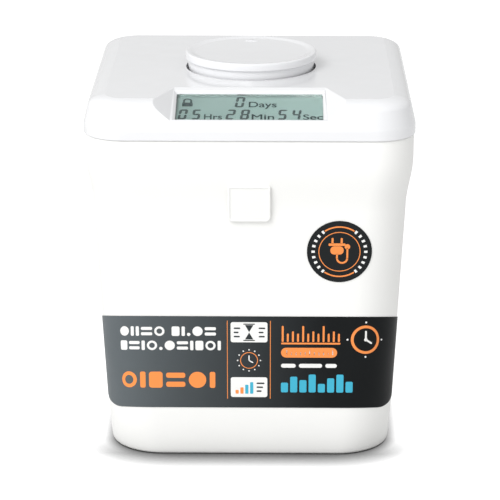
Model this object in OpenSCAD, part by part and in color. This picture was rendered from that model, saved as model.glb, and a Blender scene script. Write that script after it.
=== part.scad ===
// Timed lock container: a tapered tub with a lift-off lid. A dial on the lid sets the time on a
// small display, and two motor-driven bolts in the lid lock it into the rim of the tub.
// Millimetres, +Z up, front towards -Y, origin at the middle of the underside.

/* [Tub] */
// Height of the tub from the table to its rim
tub_h = 164; // [150:1:190]
// Half width of the vertical band at the rim
rim_half = 79.3; // [74:0.1:84]
// How far the rim band stands out beyond the tapered side below it
flare_out = 3.07; // [2:0.1:5]
// Widening of each side per millimetre of height, below the flare
tub_taper = 0.0475; // [0.03:0.0025:0.05]
// Height of the flare that ends at the rim band
flare_h = 26; // [20:1:34]
// Height of the rim band above the flare
rim_band_h = 12; // [9:1:14]
// Corner radius of the plan at the table
corner_r_bottom = 26.5; // [22:0.5:30]
// Corner radius of the plan at the rim
corner_r_top = 19; // [16:0.5:20]
// Radius of the bottom edge
bottom_edge_r = 1.6; // [1:0.1:3]
// How far the sides draw in towards the bottom edge
bottom_draw_in = 0.6; // [0.3:0.1:1]
// Height over which the sides draw in
bottom_draw_h = 27; // [20:1:27]
// Wall of the tub
tub_wall = 2.5; // [2:0.1:3]
// Floor of the tub
tub_floor = 3; // [2.5:0.25:4]
// Wall at the rim, round the mouth that the lid drops into
rim_wall = 4.8; // [4.4:0.1:5.4]

/* [Lid] */
// How far the lid's skirt stands out beyond the rim of the tub
lid_overhang = 0.7; // [0.3:0.1:1.5]
// Corner radius of the skirt
lid_corner_r = 20; // [17:0.2:21]
// Height of the upright skirt
skirt_h = 5; // [4:0.25:6]
// Height of the leaning side above the skirt
lean_h = 8.6; // [8:0.2:9.5]
// Angle of the leaning side from upright
lean_angle = 13.5; // [10:0.5:15]
// Height of the rounded shoulder above the leaning side
shoulder_h = 4.8; // [4.4:0.1:5.2]
// Distance of the flat top's crease in from the skirt
crease_inset = 10.5; // [9.5:0.25:12]
// Angle at which the shoulder leaves the flat top
crease_angle = 8; // [5:0.5:12]
// Wall of the lid cover
lid_wall = 2.4; // [2:0.1:2.6]
// Gap of the seam between skirt and tub rim
seam_gap = 0.3; // [0.2:0.05:0.5]
// Depth of the tray that plugs into the mouth
plug_depth = 20; // [19:0.5:22]
// Wall of the tray
tray_wall = 2; // [1.8:0.1:2.2]
// Bottom plate of the tray
tray_floor = 2.5; // [2.2:0.1:3]
// Gap between the tray and the mouth of the tub
plug_gap = 0.8; // [0.6:0.1:1]

/* [Display] */
// Width of the display opening
display_w = 70.4; // [68:0.2:71]
// Height of the display opening, measured along its slope
display_h = 27; // [25:0.2:27.4]
// How far the sloping display face lies below the lid's top at the front
slope_drop = 9; // [8:0.25:9.5]
// Depth of the sloping face from the front of the lid to its back edge
slope_run = 33; // [32:0.5:34]
// Half width of the sloping face at its back edge
slope_half = 36.7; // [36.5:0.1:37.5]
// Depth of the window below the sloping face
window_recess = 1.2; // [0.9:0.1:1.4]
// Width of the bevel along the sides and the upper edge of the display opening
display_bevel = 1.5; // [1:0.1:1.6]

/* [Dial] */
// Radius of the dial cap
cap_r = 33; // [31:0.25:33.5]
// Thickness of the dial cap
cap_h = 3.9; // [3.5:0.1:4.5]
// Height of the joint between cap and collar above the lid top
collar_rise = 4.3; // [4:0.1:5]
// Radius of the collar under the cap
collar_r = 31.65; // [29:0.25:31.8]
// Running gap round the collar
dial_gap = 0.9; // [0.7:0.1:1]
// Travel of the dial when it is pressed
press_travel = 0.8; // [0.5:0.1:0.8]
// Radius of the dial shaft
shaft_r = 3; // [2.5:0.25:3]

/* [Lock] */
// Travel of each bolt
bolt_travel = 3.7; // [3:0.1:3.7]
// Width of each bolt
bolt_w = 20; // [16:1:20]
// Thickness of each bolt
bolt_t = 4; // [3.5:0.25:4]
// Angle that the cam wheel turns to throw the bolts
cam_angle = 60; // [50:2:60]
// Tooth module of the cam wheel and the pinion
gear_module = 1; // [1:0.05:1]
// Teeth on the cam wheel
cam_teeth = 60; // [60:6:60]
// Teeth on the motor pinion
pinion_teeth = 12; // [10:1:12]
// Direction of the motor from the dial axis
motor_angle = 225; // [215:5:235]

/* [Batteries] */
// Radius of a cell
cell_r = 7.25; // [7:0.05:7.25]
// Length of a cell over its stud
cell_l = 50.5; // [49.5:0.25:50.5]
// Distance between the two cells' axes
cell_pitch = 15.2; // [15:0.1:15.5]

/* [Front] */
// Width of the port plug's badge
badge_w = 20.6; // [18:0.2:22]
// Height of the port plug's badge
badge_h = 18.6; // [16:0.2:19]
// Distance of the badge's middle below the rim
badge_drop = 31.1; // [30.1:0.5:36.1]
// How far the badge stands out of the tub
badge_proud = 1.7; // [1.2:0.1:2.2]
// Width of the charging port
port_w = 14; // [10:0.5:15]
// Height of the charging port
port_h = 12; // [8:0.5:13]
// Lower edge of the label band
label_low = 25.7; // [20:0.1:32]
// Upper edge of the label band
label_high = 74.2; // [60:0.2:90]
// How far the label's ends hang down, as a part of how far they lie back round the corner
label_droop = 0.35; // [0.2:0.01:0.4]
// Thickness of the label and the sticker
label_t = 0.25; // [0.2:0.05:0.3]
// Diameter of the round sticker
sticker_d = 31.4; // [24:0.2:34]
// Distance of the sticker's middle to the right of the centre line
sticker_x = 43.6; // [38:0.2:44]
// Distance of the sticker's middle below the rim
sticker_drop = 56; // [52:0.5:64]

/* [Hidden] */
$fn = 64;

// Rings of the outside skins: segments in each rounded corner
corner_steps = 8;
// Small overlap that makes cutters pass right through
eps = 0.01;
// Running clearance of sliding and turning pieces
slip = 0.3;

// ---- Heights
rim_z = tub_h;
badge_z = rim_z - badge_drop;
sticker_z = rim_z - sticker_drop;
skirt_z = rim_z + seam_gap;
skirt_top = rim_z + skirt_h;
lean_top = skirt_top + lean_h;
lid_top = lean_top + shoulder_h;
plug_z = rim_z - plug_depth;
tray_top = plug_z + tray_floor;

// ---- Half widths that follow the rim
mouth_half = rim_half - rim_wall;
lid_half = rim_half + lid_overhang;
top_half = lid_half - crease_inset;

// ---- Lid shoulder: a curve from the top of the leaning side to the crease of the flat top. Its
// control point lies where the two end directions cross.
lean_half = lid_half - lean_h * tan(lean_angle);
shoulder_in = lean_half - top_half;
control_in = (shoulder_h - shoulder_in * tan(crease_angle))
    * tan(lean_angle) / (1 - tan(lean_angle) * tan(crease_angle));
shoulder_low = [lean_half, lean_top];
shoulder_mid = [lean_half - control_in, lid_top - (shoulder_in - control_in) * tan(crease_angle)];
shoulder_high = [top_half, lid_top];
skirt_in_half = lid_half - lid_wall;

// ---- Tray
plug_half = mouth_half - plug_gap;
tray_in_half = plug_half - tray_wall;
mouth_corner_r = corner_r_top - (rim_half - mouth_half);
plug_corner_r = mouth_corner_r - plug_gap;
flange_half = skirt_in_half - 1.4;
flange_t = 2;

// ---- Screws that hold the tray to the cover
screw_inset = 11.7;
screw_at = tray_in_half - screw_inset;
screw_r = 1.4;
screw_head_r = 3;
screw_head_t = 2;
screw_l = 13;
cross_l = 3.6;
cross_w = 0.7;
cross_depth = 0.9;
boss_r = 4;
boss_z = tray_top + 2.5;
head_z = plug_z + 0.2;

// ---- Display slope
lid_front_y = -lid_half;
slope_back = lid_half - slope_run;
slope_rate = slope_drop / slope_run;
slope_angle = atan(slope_rate);
flare_side_out = 10.87;
flare_side_y = 28;
flare_bottom_out = 0.9;
flare_dx_dy = -flare_side_out / flare_side_y;
flare_dx_dz = (-flare_dx_dy * slope_run - flare_bottom_out) / slope_drop;
bezel_front = 2.6;
display_mid_y = lid_front_y + bezel_front + display_h * cos(slope_angle) / 2;
display_mid_z = lid_top + slope_rate * (display_mid_y + slope_back);
slope_wall = lid_wall * cos(slope_angle);
window_fit = 0.15;
window_flange = 1.5;
window_flange_t = 1.2;
panel_t = 2.6;
panel_depth = slope_wall + window_flange_t;

// ---- Dial, encoder and board
board_t = 1.6;
board_z = rim_z;
board_top = board_z + board_t;
board_half = 46;
board_front = -46;
board_back = 36;
post_r = 3;
post_x = 42;
post_front = -40;
post_back = 31;
encoder_w = 12;
encoder_h = 7;
encoder_top = board_top + encoder_h;
bushing_r = 3.8;
bushing_h = 4.4;
plunger_r = 3.2;
plunger_t = 0.8;
shaft_bottom = board_top + 0.7 + press_travel + plunger_t;
rotor_r = 5;
rotor_z = shaft_bottom + press_travel + 0.2;
rotor_t = 2;
well_floor_z = encoder_top + 1.6;
well_floor_t = 2;
well_floor_top = well_floor_z + well_floor_t;
well_r = collar_r + dial_gap;
well_wall = 1.8;
collar_bottom = well_floor_top + press_travel + 0.2;
collar_top = lid_top + collar_rise;
collar_wall = 1.6;
collar_deck = 1.5;
hub_r = 5.5;
hub_bottom = encoder_top + bushing_h + press_travel + slip;
cap_top = collar_top + cap_h;
cap_edge_r = 1.7;
cap_dish = 0.7;
cap_rim_w = 3.2;
pointer_w = 6;
pointer_l = 4;
pointer_y = 24;
pointer_t = 0.35;

// ---- Lock works
cam_z = tray_top + 1.5;
cam_t = 3;
cam_pitch_r = gear_module * cam_teeth / 2;
pinion_pitch_r = gear_module * pinion_teeth / 2;
gear_distance = cam_pitch_r + pinion_pitch_r;
pivot_r = 4;
bolt_z = cam_z + cam_t + slip;
pin_r = 1.6;
pin_rest_r = 18;
pin_rate = bolt_travel / cam_angle;
bolt_inner = pin_rest_r - 5;
bolt_tip = plug_half - 0.5;
guide_x = 37;
guide_wall = 2.2;
guide_top = bolt_z + bolt_t + slip + 2.2;
pocket_depth = 3;
pocket_gap = 0.7;

// ---- Motor
gearbox_w = 12;
gearbox_d = 10;
gearbox_h = 8;
motor_r = 6;
motor_h = 12.6;
bracket_t = 1;
bracket_z = cam_z + cam_t + 0.5;
gearbox_z = bracket_z + bracket_t;
motor_z = gearbox_z + gearbox_h;
motor_shaft_r = 1.5;
bracket_leg_x = gear_distance + 13;
cheek_half = 4;
cheek_low = 1;

// ---- Battery bay
bay_half = 29.5;
bay_wall = 2;
bay_rear = tray_in_half;
cell_rear_y = bay_rear - 1.05 - cell_r;
cell_front_y = cell_rear_y - cell_pitch;
door_t = 2;
cell_z = plug_z + door_t + 0.25 + cell_r;
bay_top = cell_z + cell_r + 0.25;
bay_top_t = 2;
hinge_r = 1.5;
hinge_z = plug_z + hinge_r;
hinge_y = cell_front_y - cell_r - 1;
hinge_pin_r = 0.8;
bay_front = hinge_y - hinge_r - slip;
door_half = bay_half + 2.5;
ear_l = 4;
stud_r = 2.75;
stud_l = 1.3;
plate_t = 0.4;
plate_half = 6.2;
tail_half = 2;
tail_end_z = bay_top + bay_top_t + 1.5;
catch_half = 5;
catch_h = 5;
catch_t = 1;
recess_r = 6.2;
recess_in = 9;
recess_low = 5;

// ---- Springs of the battery bay
spring_wire_r = 0.4;
spring_turns = 4;
spring_r_plate = 5.2;
spring_r_cell = 3.4;
spring_rings = 8;
spring_sides = 6;
spring_l = 2 * (bay_half - plate_t) - cell_l;

// ---- Colours
shell_white = [0.96, 0.96, 0.95];
label_grey = [0.22, 0.23, 0.24];
board_green = [0.10, 0.35, 0.22];
steel_grey = [0.70, 0.71, 0.72];
works_white = [0.85, 0.86, 0.84];

// ==== Shared shapes ====

// Outside half width of the tub at height z, with the flare as a smooth step
flare_z0 = rim_z - rim_band_h - flare_h;
function smooth(t) = t * t * (3 - 2 * t);
function taper_half(z) = rim_half - flare_out - tub_taper * (flare_z0 - min(z, flare_z0));
function tub_half(z) =
    let (s = smooth(min(max((z - flare_z0) / flare_h, 0), 1)),
        foot = bottom_draw_in * pow(max(1 - z / bottom_draw_h, 0), 2))
    taper_half(z) * (1 - s) + rim_half * s - foot;
function tub_corner(z) = corner_r_bottom + (corner_r_top - corner_r_bottom) * z / tub_h;
// Half width and corner radius inside: a wall's thickness in, and never wider than the mouth
function tub_in_half(z) = min(tub_half(z) - tub_wall, mouth_half);
function tub_in_corner(z) = tub_corner(z) - (tub_half(z) - tub_in_half(z));

// Points of a rounded square of half width h and corner radius r at height z
function ring(h, r, z) = [for (k = [0:3]) for (i = [0:corner_steps])
    let (a = 90 * k + 90 * i / corner_steps,
         sx = (k == 0 || k == 3) ? 1 : -1,
         sy = (k < 2) ? 1 : -1)
    [sx * (h - r) + r * cos(a), sy * (h - r) + r * sin(a), z]];

// Closed solid through a list of rings, from the lowest to the highest
module skin(rings) {
    n = len(rings[0]);
    m = len(rings);
    points = [for (r = rings) each r];
    bottom = [[for (i = [0:n - 1]) i]];
    top = [[for (i = [n - 1:-1:0]) (m - 1) * n + i]];
    sides = [for (j = [0:m - 2]) for (i = [0:n - 1])
        let (k = (i + 1) % n)
        [j * n + i, (j + 1) * n + i, (j + 1) * n + k, j * n + k]];
    polyhedron(points = points, faces = concat(bottom, sides, top), convexity = 4);
}

// Upright rounded-square block, exact
module rounded_block(h, r, z0, z1) {
    translate([0, 0, z0])
        linear_extrude(height = z1 - z0)
            rounded_rect(2 * h, 2 * h, r, r);
}

// Rounded rectangle about the origin, with one radius below and one above
module rounded_rect(w, h, r_low, r_up) {
    for (s = [-1, 1]) {
        translate([s * (w / 2 - r_low), -h / 2 + r_low]) circle(r = r_low);
        translate([s * (w / 2 - r_up), h / 2 - r_up]) circle(r = r_up);
    }
    polygon([[-w / 2 + r_low, -h / 2], [w / 2 - r_low, -h / 2], [w / 2, -h / 2 + r_low],
        [w / 2, h / 2 - r_up], [w / 2 - r_up, h / 2], [-w / 2 + r_up, h / 2],
        [-w / 2, h / 2 - r_up], [-w / 2, -h / 2 + r_low]]);
}

// Box from one corner to the other
module block(a, b) {
    translate(a) cube(b - a);
}

module rod(r, z0, z1, at = [0, 0]) {
    translate([at[0], at[1], z0]) cylinder(r = r, h = z1 - z0);
}

// Tube of radius r along a list of points, with closed ends
module tube_along(path, r, sides) {
    n = len(path);
    function unit(v) = v / norm(v);
    function along(i) = unit(path[min(i + 1, n - 1)] - path[max(i - 1, 0)]);
    function across(t) = unit(cross(t, abs(t[2]) < 0.9 ? [0, 0, 1] : [1, 0, 0]));
    // Each ring's first direction is the last one's, turned only as far as the path turns
    frames = [for (i = 0, u = across(along(0)); i < n;
        i = i + 1, u = i < n ? unit(u - (u * along(i)) * along(i)) : u) u];
    points = [for (i = [0:n - 1]) for (k = [0:sides - 1])
        let (t = along(i), u = frames[i], v = cross(t, u), a = 360 * k / sides)
        path[i] + r * (cos(a) * u + sin(a) * v)];
    bottom = [[for (k = [0:sides - 1]) k]];
    top = [[for (k = [sides - 1:-1:0]) (n - 1) * sides + k]];
    walls = [for (i = [0:n - 2]) for (k = [0:sides - 1])
        let (a = i * sides + k, b = i * sides + (k + 1) % sides)
        each [[a, a + sides, b + sides], [a, b + sides, b]]];
    polyhedron(points = points, faces = concat(bottom, walls, top), convexity = 6);
}

// Smooth curve through hand-picked points
function curve_at(p, i, t) =
    let (a = p[max(i - 1, 0)], b = p[i], c = p[i + 1], d = p[min(i + 2, len(p) - 1)])
    0.5 * (2 * b + (c - a) * t + (2 * a - 5 * b + 4 * c - d) * t * t
        + (3 * b - a - 3 * c + d) * t * t * t);
function curve(p, steps) = concat([for (i = [0:len(p) - 2]) for (s = [0:steps - 1])
    curve_at(p, i, s / steps)], [p[len(p) - 1]]);

// ==== Tub ====

// Heights of the rings: the rounded bottom edge, the drawn-in foot, the taper, the flare and the
// rim band
round_steps = 4;
foot_steps = 4;
flare_steps = 8;
tub_ring_z = concat(
    [for (i = [0:round_steps]) bottom_edge_r * (1 - cos(90 * i / round_steps))],
    [for (i = [1:foot_steps]) bottom_edge_r + (bottom_draw_h - bottom_edge_r) * i / foot_steps],
    [for (i = [0:flare_steps]) flare_z0 + flare_h * i / flare_steps],
    [rim_z]);
function edge_in(z) = z >= bottom_edge_r ? 0
    : bottom_edge_r - sqrt(pow(bottom_edge_r, 2) - pow(bottom_edge_r - z, 2));

module tub_outside(grow = 0) {
    skin([for (z = tub_ring_z)
        ring(tub_half(z) - edge_in(z) + grow, tub_corner(z) - edge_in(z) + grow, z)]);
}

module tub_inside() {
    inner_round = 4;
    skin(concat(
        [for (i = [0:4]) let (z = tub_floor + inner_round * (1 - cos(90 * i / 4)),
            d = inner_round * (1 - sin(90 * i / 4)))
            ring(tub_in_half(z) - d, tub_in_corner(z) - d, z)],
        [for (i = [0:flare_steps]) let (z = flare_z0 + flare_h * i / flare_steps)
            ring(tub_in_half(z), tub_in_corner(z), z)],
        [ring(tub_in_half(rim_z), tub_in_corner(rim_z), rim_z + 1)]));
}

// Lower edge of the charging port
port_z0 = badge_z - port_h / 2;

// Pocket in the rim that a bolt shoots into, on the +X side
module strike_pocket() {
    block([mouth_half - 0.5, -bolt_w / 2 - 1, bolt_z - pocket_gap],
        [mouth_half + pocket_depth, bolt_w / 2 + 1, bolt_z + bolt_t + pocket_gap]);
}

module base_tub() {
    color(shell_white)
    difference() {
        tub_outside();
        tub_inside();
        strike_pocket();
        mirror([1, 0, 0]) strike_pocket();
        block([-port_w / 2, -rim_half, port_z0], [port_w / 2, 1 - tub_in_half(port_z0), port_z0 + port_h]);
    }
}

// Point of the tub's outside at height z, a length s along the girth from the middle of the
// front, and off the surface by d: flat front first, then round the corner
function girth_point(s, z, d) =
    let (h = tub_half(z), r = tub_corner(z), flat = h - r, side = s < 0 ? -1 : 1, u = abs(s),
        a = u <= flat ? 0 : (u - flat) / r * 180 / PI)
    [side * (u <= flat ? u : flat + (r + d) * sin(a)), -(flat + (r + d) * cos(a)), z];

// Label: a thin band round the front and both front corners, with square upper corners and lower
// corners that look round from the front
label_wrap = 88;
label_corner_r = 7.7;
label_rows = 7;
label_gap = 0.03;
function label_inset(z) =
    let (d = z - label_low)
    d >= label_corner_r ? 0
        : label_corner_r - sqrt(pow(label_corner_r, 2) - pow(label_corner_r - d, 2));
label_row_z = concat(
    [for (i = [0:label_rows - 1]) label_low + label_corner_r * (1 - cos(90 * i / label_rows))],
    [label_low + label_corner_r, (label_low + label_corner_r + label_high) / 2, label_high]);
label_corner_cols = ceil(corner_steps * label_wrap / 90) + 1;

// Lengths along the girth at which a row of the label has its points
function label_cols(z) =
    let (r = tub_corner(z), flat = tub_half(z) - r, step = 90 / corner_steps,
        end = min(label_wrap, asin(1 - label_inset(z) / r)) * PI / 180 * r,
        half = [for (i = [0:label_corner_cols]) flat + min(i * step * PI / 180 * r, end)])
    concat([for (i = [label_corner_cols:-1:0]) -half[i]], half);

// Point of the label: its ends hang down as they go round the corner
function label_point(s, z, d) =
    let (r = tub_corner(z), u = max(abs(s) - tub_half(z) + r, 0), a = u / r * 180 / PI,
        low = z - label_droop * r * (1 - cos(a)), new_r = tub_corner(low),
        new_s = tub_half(low) - new_r + a * PI / 180 * new_r)
    girth_point(u > 0 ? (s < 0 ? -new_s : new_s) : s, low, d);

module front_label() {
    cols = 2 * (label_corner_cols + 1);
    rows = len(label_row_z);
    layer = cols * rows;
    points = [for (d = [label_gap, label_gap + label_t]) for (z = label_row_z)
        for (s = label_cols(z)) label_point(s, z, d)];
    function at(l, j, i) = l * layer + j * cols + i;
    outer = [for (j = [0:rows - 2]) for (i = [0:cols - 2])
        each [[at(1, j, i), at(1, j + 1, i), at(1, j + 1, i + 1)],
            [at(1, j, i), at(1, j + 1, i + 1), at(1, j, i + 1)]]];
    inner = [for (j = [0:rows - 2]) for (i = [0:cols - 2])
        each [[at(0, j, i), at(0, j + 1, i + 1), at(0, j + 1, i)],
            [at(0, j, i), at(0, j, i + 1), at(0, j + 1, i + 1)]]];
    low = [for (i = [0:cols - 2])
        each [[at(0, 0, i), at(1, 0, i), at(1, 0, i + 1)],
            [at(0, 0, i), at(1, 0, i + 1), at(0, 0, i + 1)]]];
    high = [for (i = [0:cols - 2]) let (j = rows - 1)
        each [[at(0, j, i), at(1, j, i + 1), at(1, j, i)],
            [at(0, j, i), at(0, j, i + 1), at(1, j, i + 1)]]];
    left = [for (j = [0:rows - 2])
        each [[at(0, j, 0), at(1, j + 1, 0), at(1, j, 0)],
            [at(0, j, 0), at(0, j + 1, 0), at(1, j + 1, 0)]]];
    right = [for (j = [0:rows - 2]) let (i = cols - 1)
        each [[at(0, j, i), at(1, j, i), at(1, j + 1, i)],
            [at(0, j, i), at(1, j + 1, i), at(0, j + 1, i)]]];
    color(label_grey)
        polyhedron(points = points, faces = concat(outer, inner, low, high, left, right),
            convexity = 4);
}

// Sticker: a disc laid on the tub's girth, so that its right edge follows the start of the corner
sticker_rings = 5;
sticker_sides = 48;
sticker_gap = 0.07;
module round_sticker() {
    layer = sticker_rings * sticker_sides + 1;
    points = [for (d = [sticker_gap, sticker_gap + label_t]) each concat(
        [girth_point(sticker_x, sticker_z, d)],
        [for (k = [1:sticker_rings]) for (i = [0:sticker_sides - 1])
            let (r = sticker_d / 2 * k / sticker_rings, a = 360 * i / sticker_sides)
            girth_point(sticker_x + r * cos(a), sticker_z + r * sin(a), d)])];
    function at(l, k, i) = l * layer
        + (k == 0 ? 0 : 1 + (k - 1) * sticker_sides + i % sticker_sides);
    middle = [for (i = [0:sticker_sides - 1])
        each [[at(1, 0, 0), at(1, 1, i + 1), at(1, 1, i)],
            [at(0, 0, 0), at(0, 1, i), at(0, 1, i + 1)]]];
    rings = [for (k = [1:sticker_rings - 1]) for (i = [0:sticker_sides - 1])
        each [[at(1, k, i), at(1, k, i + 1), at(1, k + 1, i + 1)],
            [at(1, k, i), at(1, k + 1, i + 1), at(1, k + 1, i)],
            [at(0, k, i), at(0, k + 1, i + 1), at(0, k, i + 1)],
            [at(0, k, i), at(0, k + 1, i), at(0, k + 1, i + 1)]]];
    edge = [for (i = [0:sticker_sides - 1]) let (k = sticker_rings)
        each [[at(0, k, i), at(1, k, i), at(1, k, i + 1)],
            [at(0, k, i), at(1, k, i + 1), at(0, k, i + 1)]]];
    color(label_grey)
        polyhedron(points = points, faces = concat(middle, rings, edge), convexity = 4);
}

// ==== Port plug ====

badge_slope = atan((tub_half(badge_z + badge_h / 2) - tub_half(badge_z - badge_h / 2)) / badge_h);
badge_mid = (tub_half(badge_z + badge_h / 2) + tub_half(badge_z - badge_h / 2)) / 2;
badge_border = 1;
badge_panel = 0.35;
plug_leg_wall = 1.4;
plug_leg_in = 0.7;
plug_leg_y = plug_leg_in - tub_in_half(port_z0);

module port_plug() {
    leg_in_half = port_w / 2 - slip - plug_leg_wall;
    color(shell_white) {
        difference() {
            translate([0, -badge_mid, badge_z])
                rotate([90 + badge_slope, 0, 0])
                    difference() {
                        translate([0, 0, -1])
                            linear_extrude(height = badge_proud + 1)
                                rounded_rect(badge_w, badge_h, 2.5, 1);
                        translate([0, 0, badge_proud - badge_panel])
                            linear_extrude(height = 1)
                                rounded_rect(badge_w - 2 * badge_border, badge_h - 2 * badge_border,
                                    1.6, 0.6);
                    }
            tub_outside(slip / 2);
        }
        difference() {
            block([-port_w / 2 + slip, -badge_mid - 0.6, port_z0 + slip],
                [port_w / 2 - slip, plug_leg_y, port_z0 + port_h - slip]);
            block([-leg_in_half, -badge_mid + 0.8, port_z0 + slip + plug_leg_wall],
                [leg_in_half, plug_leg_y + 1, port_z0 + port_h - slip - plug_leg_wall]);
        }
    }
}

// ==== Lid shells ====

// Corner radius that keeps the corner's centre in place as the half width changes
function lid_corner(half) = max(lid_corner_r - (lid_half - half), 1);
function lid_ring(half, z) = ring(half, lid_corner(half), z);

// Point at t along the shoulder's curve, moved d inwards, square to the curve
function shoulder_point(t, d) =
    let (p = (1 - t) * (1 - t) * shoulder_low + 2 * t * (1 - t) * shoulder_mid
            + t * t * shoulder_high,
        v = (1 - t) * (shoulder_mid - shoulder_low) + t * (shoulder_high - shoulder_mid))
    p + d / norm(v) * [-v[1], v[0]];
function shoulder_rings(d, steps) = [for (i = [0:steps])
    let (p = shoulder_point(i / steps, d)) lid_ring(p[0], p[1])];

module lid_outside() {
    skin(concat([lid_ring(lid_half - 0.3, skirt_z), lid_ring(lid_half, skirt_z + 1),
        lid_ring(lid_half, skirt_top - 0.8), lid_ring(lid_half - 0.06, skirt_top + 0.2)],
        shoulder_rings(0, 7)));
}

module lid_inside() {
    skin(concat([lid_ring(skirt_in_half, skirt_z - 1), lid_ring(skirt_in_half, skirt_top - 0.3)],
        shoulder_rings(lid_wall, 5)));
}

// Wedge above the display slope and between its flared sides, moved down by d and out by d
module slope_cut(d) {
    y_back = -slope_back + 12;
    y_front = lid_front_y - 10;
    z_high = lid_top + 15;
    function slope_z(y) = lid_top + slope_rate * (y + slope_back) - d;
    function side_x(y, z) = slope_half + d + flare_dx_dy * (y + slope_back)
        + flare_dx_dz * (z - lid_top + d);
    points = [for (y = [y_front, y_back]) for (z = [slope_z(y), z_high]) for (s = [-1, 1])
        [s * side_x(y, z), y, z]];
    polyhedron(points = points, faces = [[0, 2, 3, 1], [4, 5, 7, 6], [0, 1, 5, 4], [2, 6, 7, 3],
        [0, 4, 6, 2], [1, 3, 7, 5]]);
}

// Frame of the display: x across, y up the slope, z out of it
module on_slope() {
    translate([0, display_mid_y, display_mid_z])
        rotate([slope_angle, 0, 0])
            children();
}

// Space of the bevel round the display opening, from the window's face up past the slope
module bevel_cut() {
    high = 1;
    out = display_bevel * (1 + high / window_recess);
    points = [for (k = [0, 1]) let (x = display_w / 2 + k * out, z = k * (high + window_recess)
            - window_recess)
        each [[-x, -display_h / 2, z], [x, -display_h / 2, z],
            [x, display_h / 2 + k * out, z], [-x, display_h / 2 + k * out, z]]];
    polyhedron(points = points, faces = [[0, 1, 2, 3], [7, 6, 5, 4], [0, 4, 5, 1], [1, 5, 6, 2],
        [2, 6, 7, 3], [3, 7, 4, 0]]);
}

module at_screws() {
    for (sx = [-1, 1]) for (sy = [-1, 1])
        translate([sx * screw_at, sy * screw_at, 0]) children();
}

module lid_cover() {
    color(shell_white)
    difference() {
        lid_outside();
        difference() {
            lid_inside();
            slope_cut(lid_wall);
            rod(well_r + well_wall, well_floor_z, lid_top);
            at_screws() rod(boss_r, boss_z, lid_top);
        }
        slope_cut(0);
        rod(well_r, well_floor_top, lid_top + 1);
        rod(bushing_r + 0.2, well_floor_z - 1, well_floor_top + 1);
        at_screws() rod(screw_r + 0.05, boss_z - 1, head_z + screw_head_t + screw_l + 1);
        on_slope() {
            block([-display_w / 2, -display_h / 2, -slope_wall - 2],
                [display_w / 2, display_h / 2, 5]);
            bevel_cut();
        }
    }
}

// Tunnel block that guides the right bolt, joined to the tray's wall
module bolt_guide() {
    block([guide_x, -bolt_w / 2 - slip - guide_wall, plug_z + 1],
        [tray_in_half + 1, bolt_w / 2 + slip + guide_wall, guide_top]);
}

module bolt_tunnel() {
    block([guide_x - 1, -bolt_w / 2 - slip, bolt_z - slip],
        [plug_half + 1, bolt_w / 2 + slip, bolt_z + bolt_t + slip]);
}

module lid_tray() {
    color(works_white)
    difference() {
        union() {
            difference() {
                union() {
                    rounded_block(plug_half, plug_corner_r, plug_z, rim_z + flange_t);
                    rounded_block(flange_half, plug_corner_r + 2, rim_z, rim_z + flange_t);
                }
                rounded_block(tray_in_half, plug_corner_r - tray_wall, tray_top, rim_z + flange_t + 1);
            }
            rod(pivot_r + 2, plug_z + 1, cam_z - 0.1);
            rod(pivot_r, plug_z + 1, cam_z + cam_t + 0.2);
            bolt_guide();
            mirror([1, 0, 0]) bolt_guide();
            for (s = [-1, 1]) for (y = [post_front, post_back])
                rod(post_r, plug_z + 1, board_z, [s * post_x, y]);
            at_screws() rod(boss_r + 1, plug_z + 1, boss_z);
            // Battery bay, ears and all, before it is hollowed
            block([-bay_half - bay_wall, bay_front - bay_wall, plug_z],
                [bay_half + bay_wall, bay_rear + 0.5, bay_top + bay_top_t]);
            for (s = [-1, 1])
                block([s * (door_half + slip + ear_l / 2) - ear_l / 2, bay_front - 1, plug_z],
                    [s * (door_half + slip + ear_l / 2) + ear_l / 2, hinge_y + 3, hinge_z + 2.5]);
        }
        // Inside of the battery bay, and the opening that the door closes
        block([-bay_half, bay_front, plug_z - 1], [bay_half, bay_rear, bay_top]);
        block([-door_half - slip, bay_front, plug_z - 1],
            [door_half + slip, bay_rear, plug_z + door_t + slip]);
        translate([-door_half - slip, hinge_y, hinge_z])
            rotate([0, 90, 0])
                cylinder(r = hinge_r + slip, h = 2 * (door_half + slip));
        translate([-door_half - slip - ear_l - 1, hinge_y, hinge_z])
            rotate([0, 90, 0])
                cylinder(r = hinge_pin_r + 0.15, h = 2 * (door_half + slip + ear_l + 1));
        // Groove for the door's catch
        block([-catch_half - slip, bay_rear - 1, plug_z - 1],
            [catch_half + slip, bay_rear + 0.9, plug_z + catch_h + 1.5]);
        // Slots that the battery terminals' tails come up through
        for (y = [cell_front_y, cell_rear_y])
            block([-bay_half, y - tail_half - 0.2, bay_top - 1],
                [-bay_half + plate_t + slip, y + tail_half + 0.2, tail_end_z + 1]);
        bolt_tunnel();
        mirror([1, 0, 0]) bolt_tunnel();
        at_screws() {
            rod(screw_head_r + 0.3, plug_z - 1, head_z + screw_head_t);
            rod(screw_r + 0.3, plug_z, boss_z + 1);
        }
    }
}

module case_screws() {
    color(steel_grey)
    at_screws() {
        difference() {
            rod(screw_head_r, head_z, head_z + screw_head_t);
            for (a = [0, 90])
                rotate([0, 0, a])
                    block([-cross_l / 2, -cross_w / 2, head_z - 1],
                        [cross_l / 2, cross_w / 2, head_z + cross_depth]);
        }
        rod(screw_r, head_z + screw_head_t - eps, head_z + screw_head_t + screw_l);
    }
}

// ==== Display ====

module display_window() {
    color([0.85, 0.9, 0.88])
    on_slope() {
        block([-display_w / 2 + window_fit, -display_h / 2 + window_fit, -slope_wall - eps],
            [display_w / 2 - window_fit, display_h / 2 - window_fit, -window_recess]);
        block([-display_w / 2 - window_flange, -display_h / 2 + window_fit, -panel_depth],
            [display_w / 2 + window_flange, display_h / 2 + window_flange, -slope_wall]);
    }
}

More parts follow.
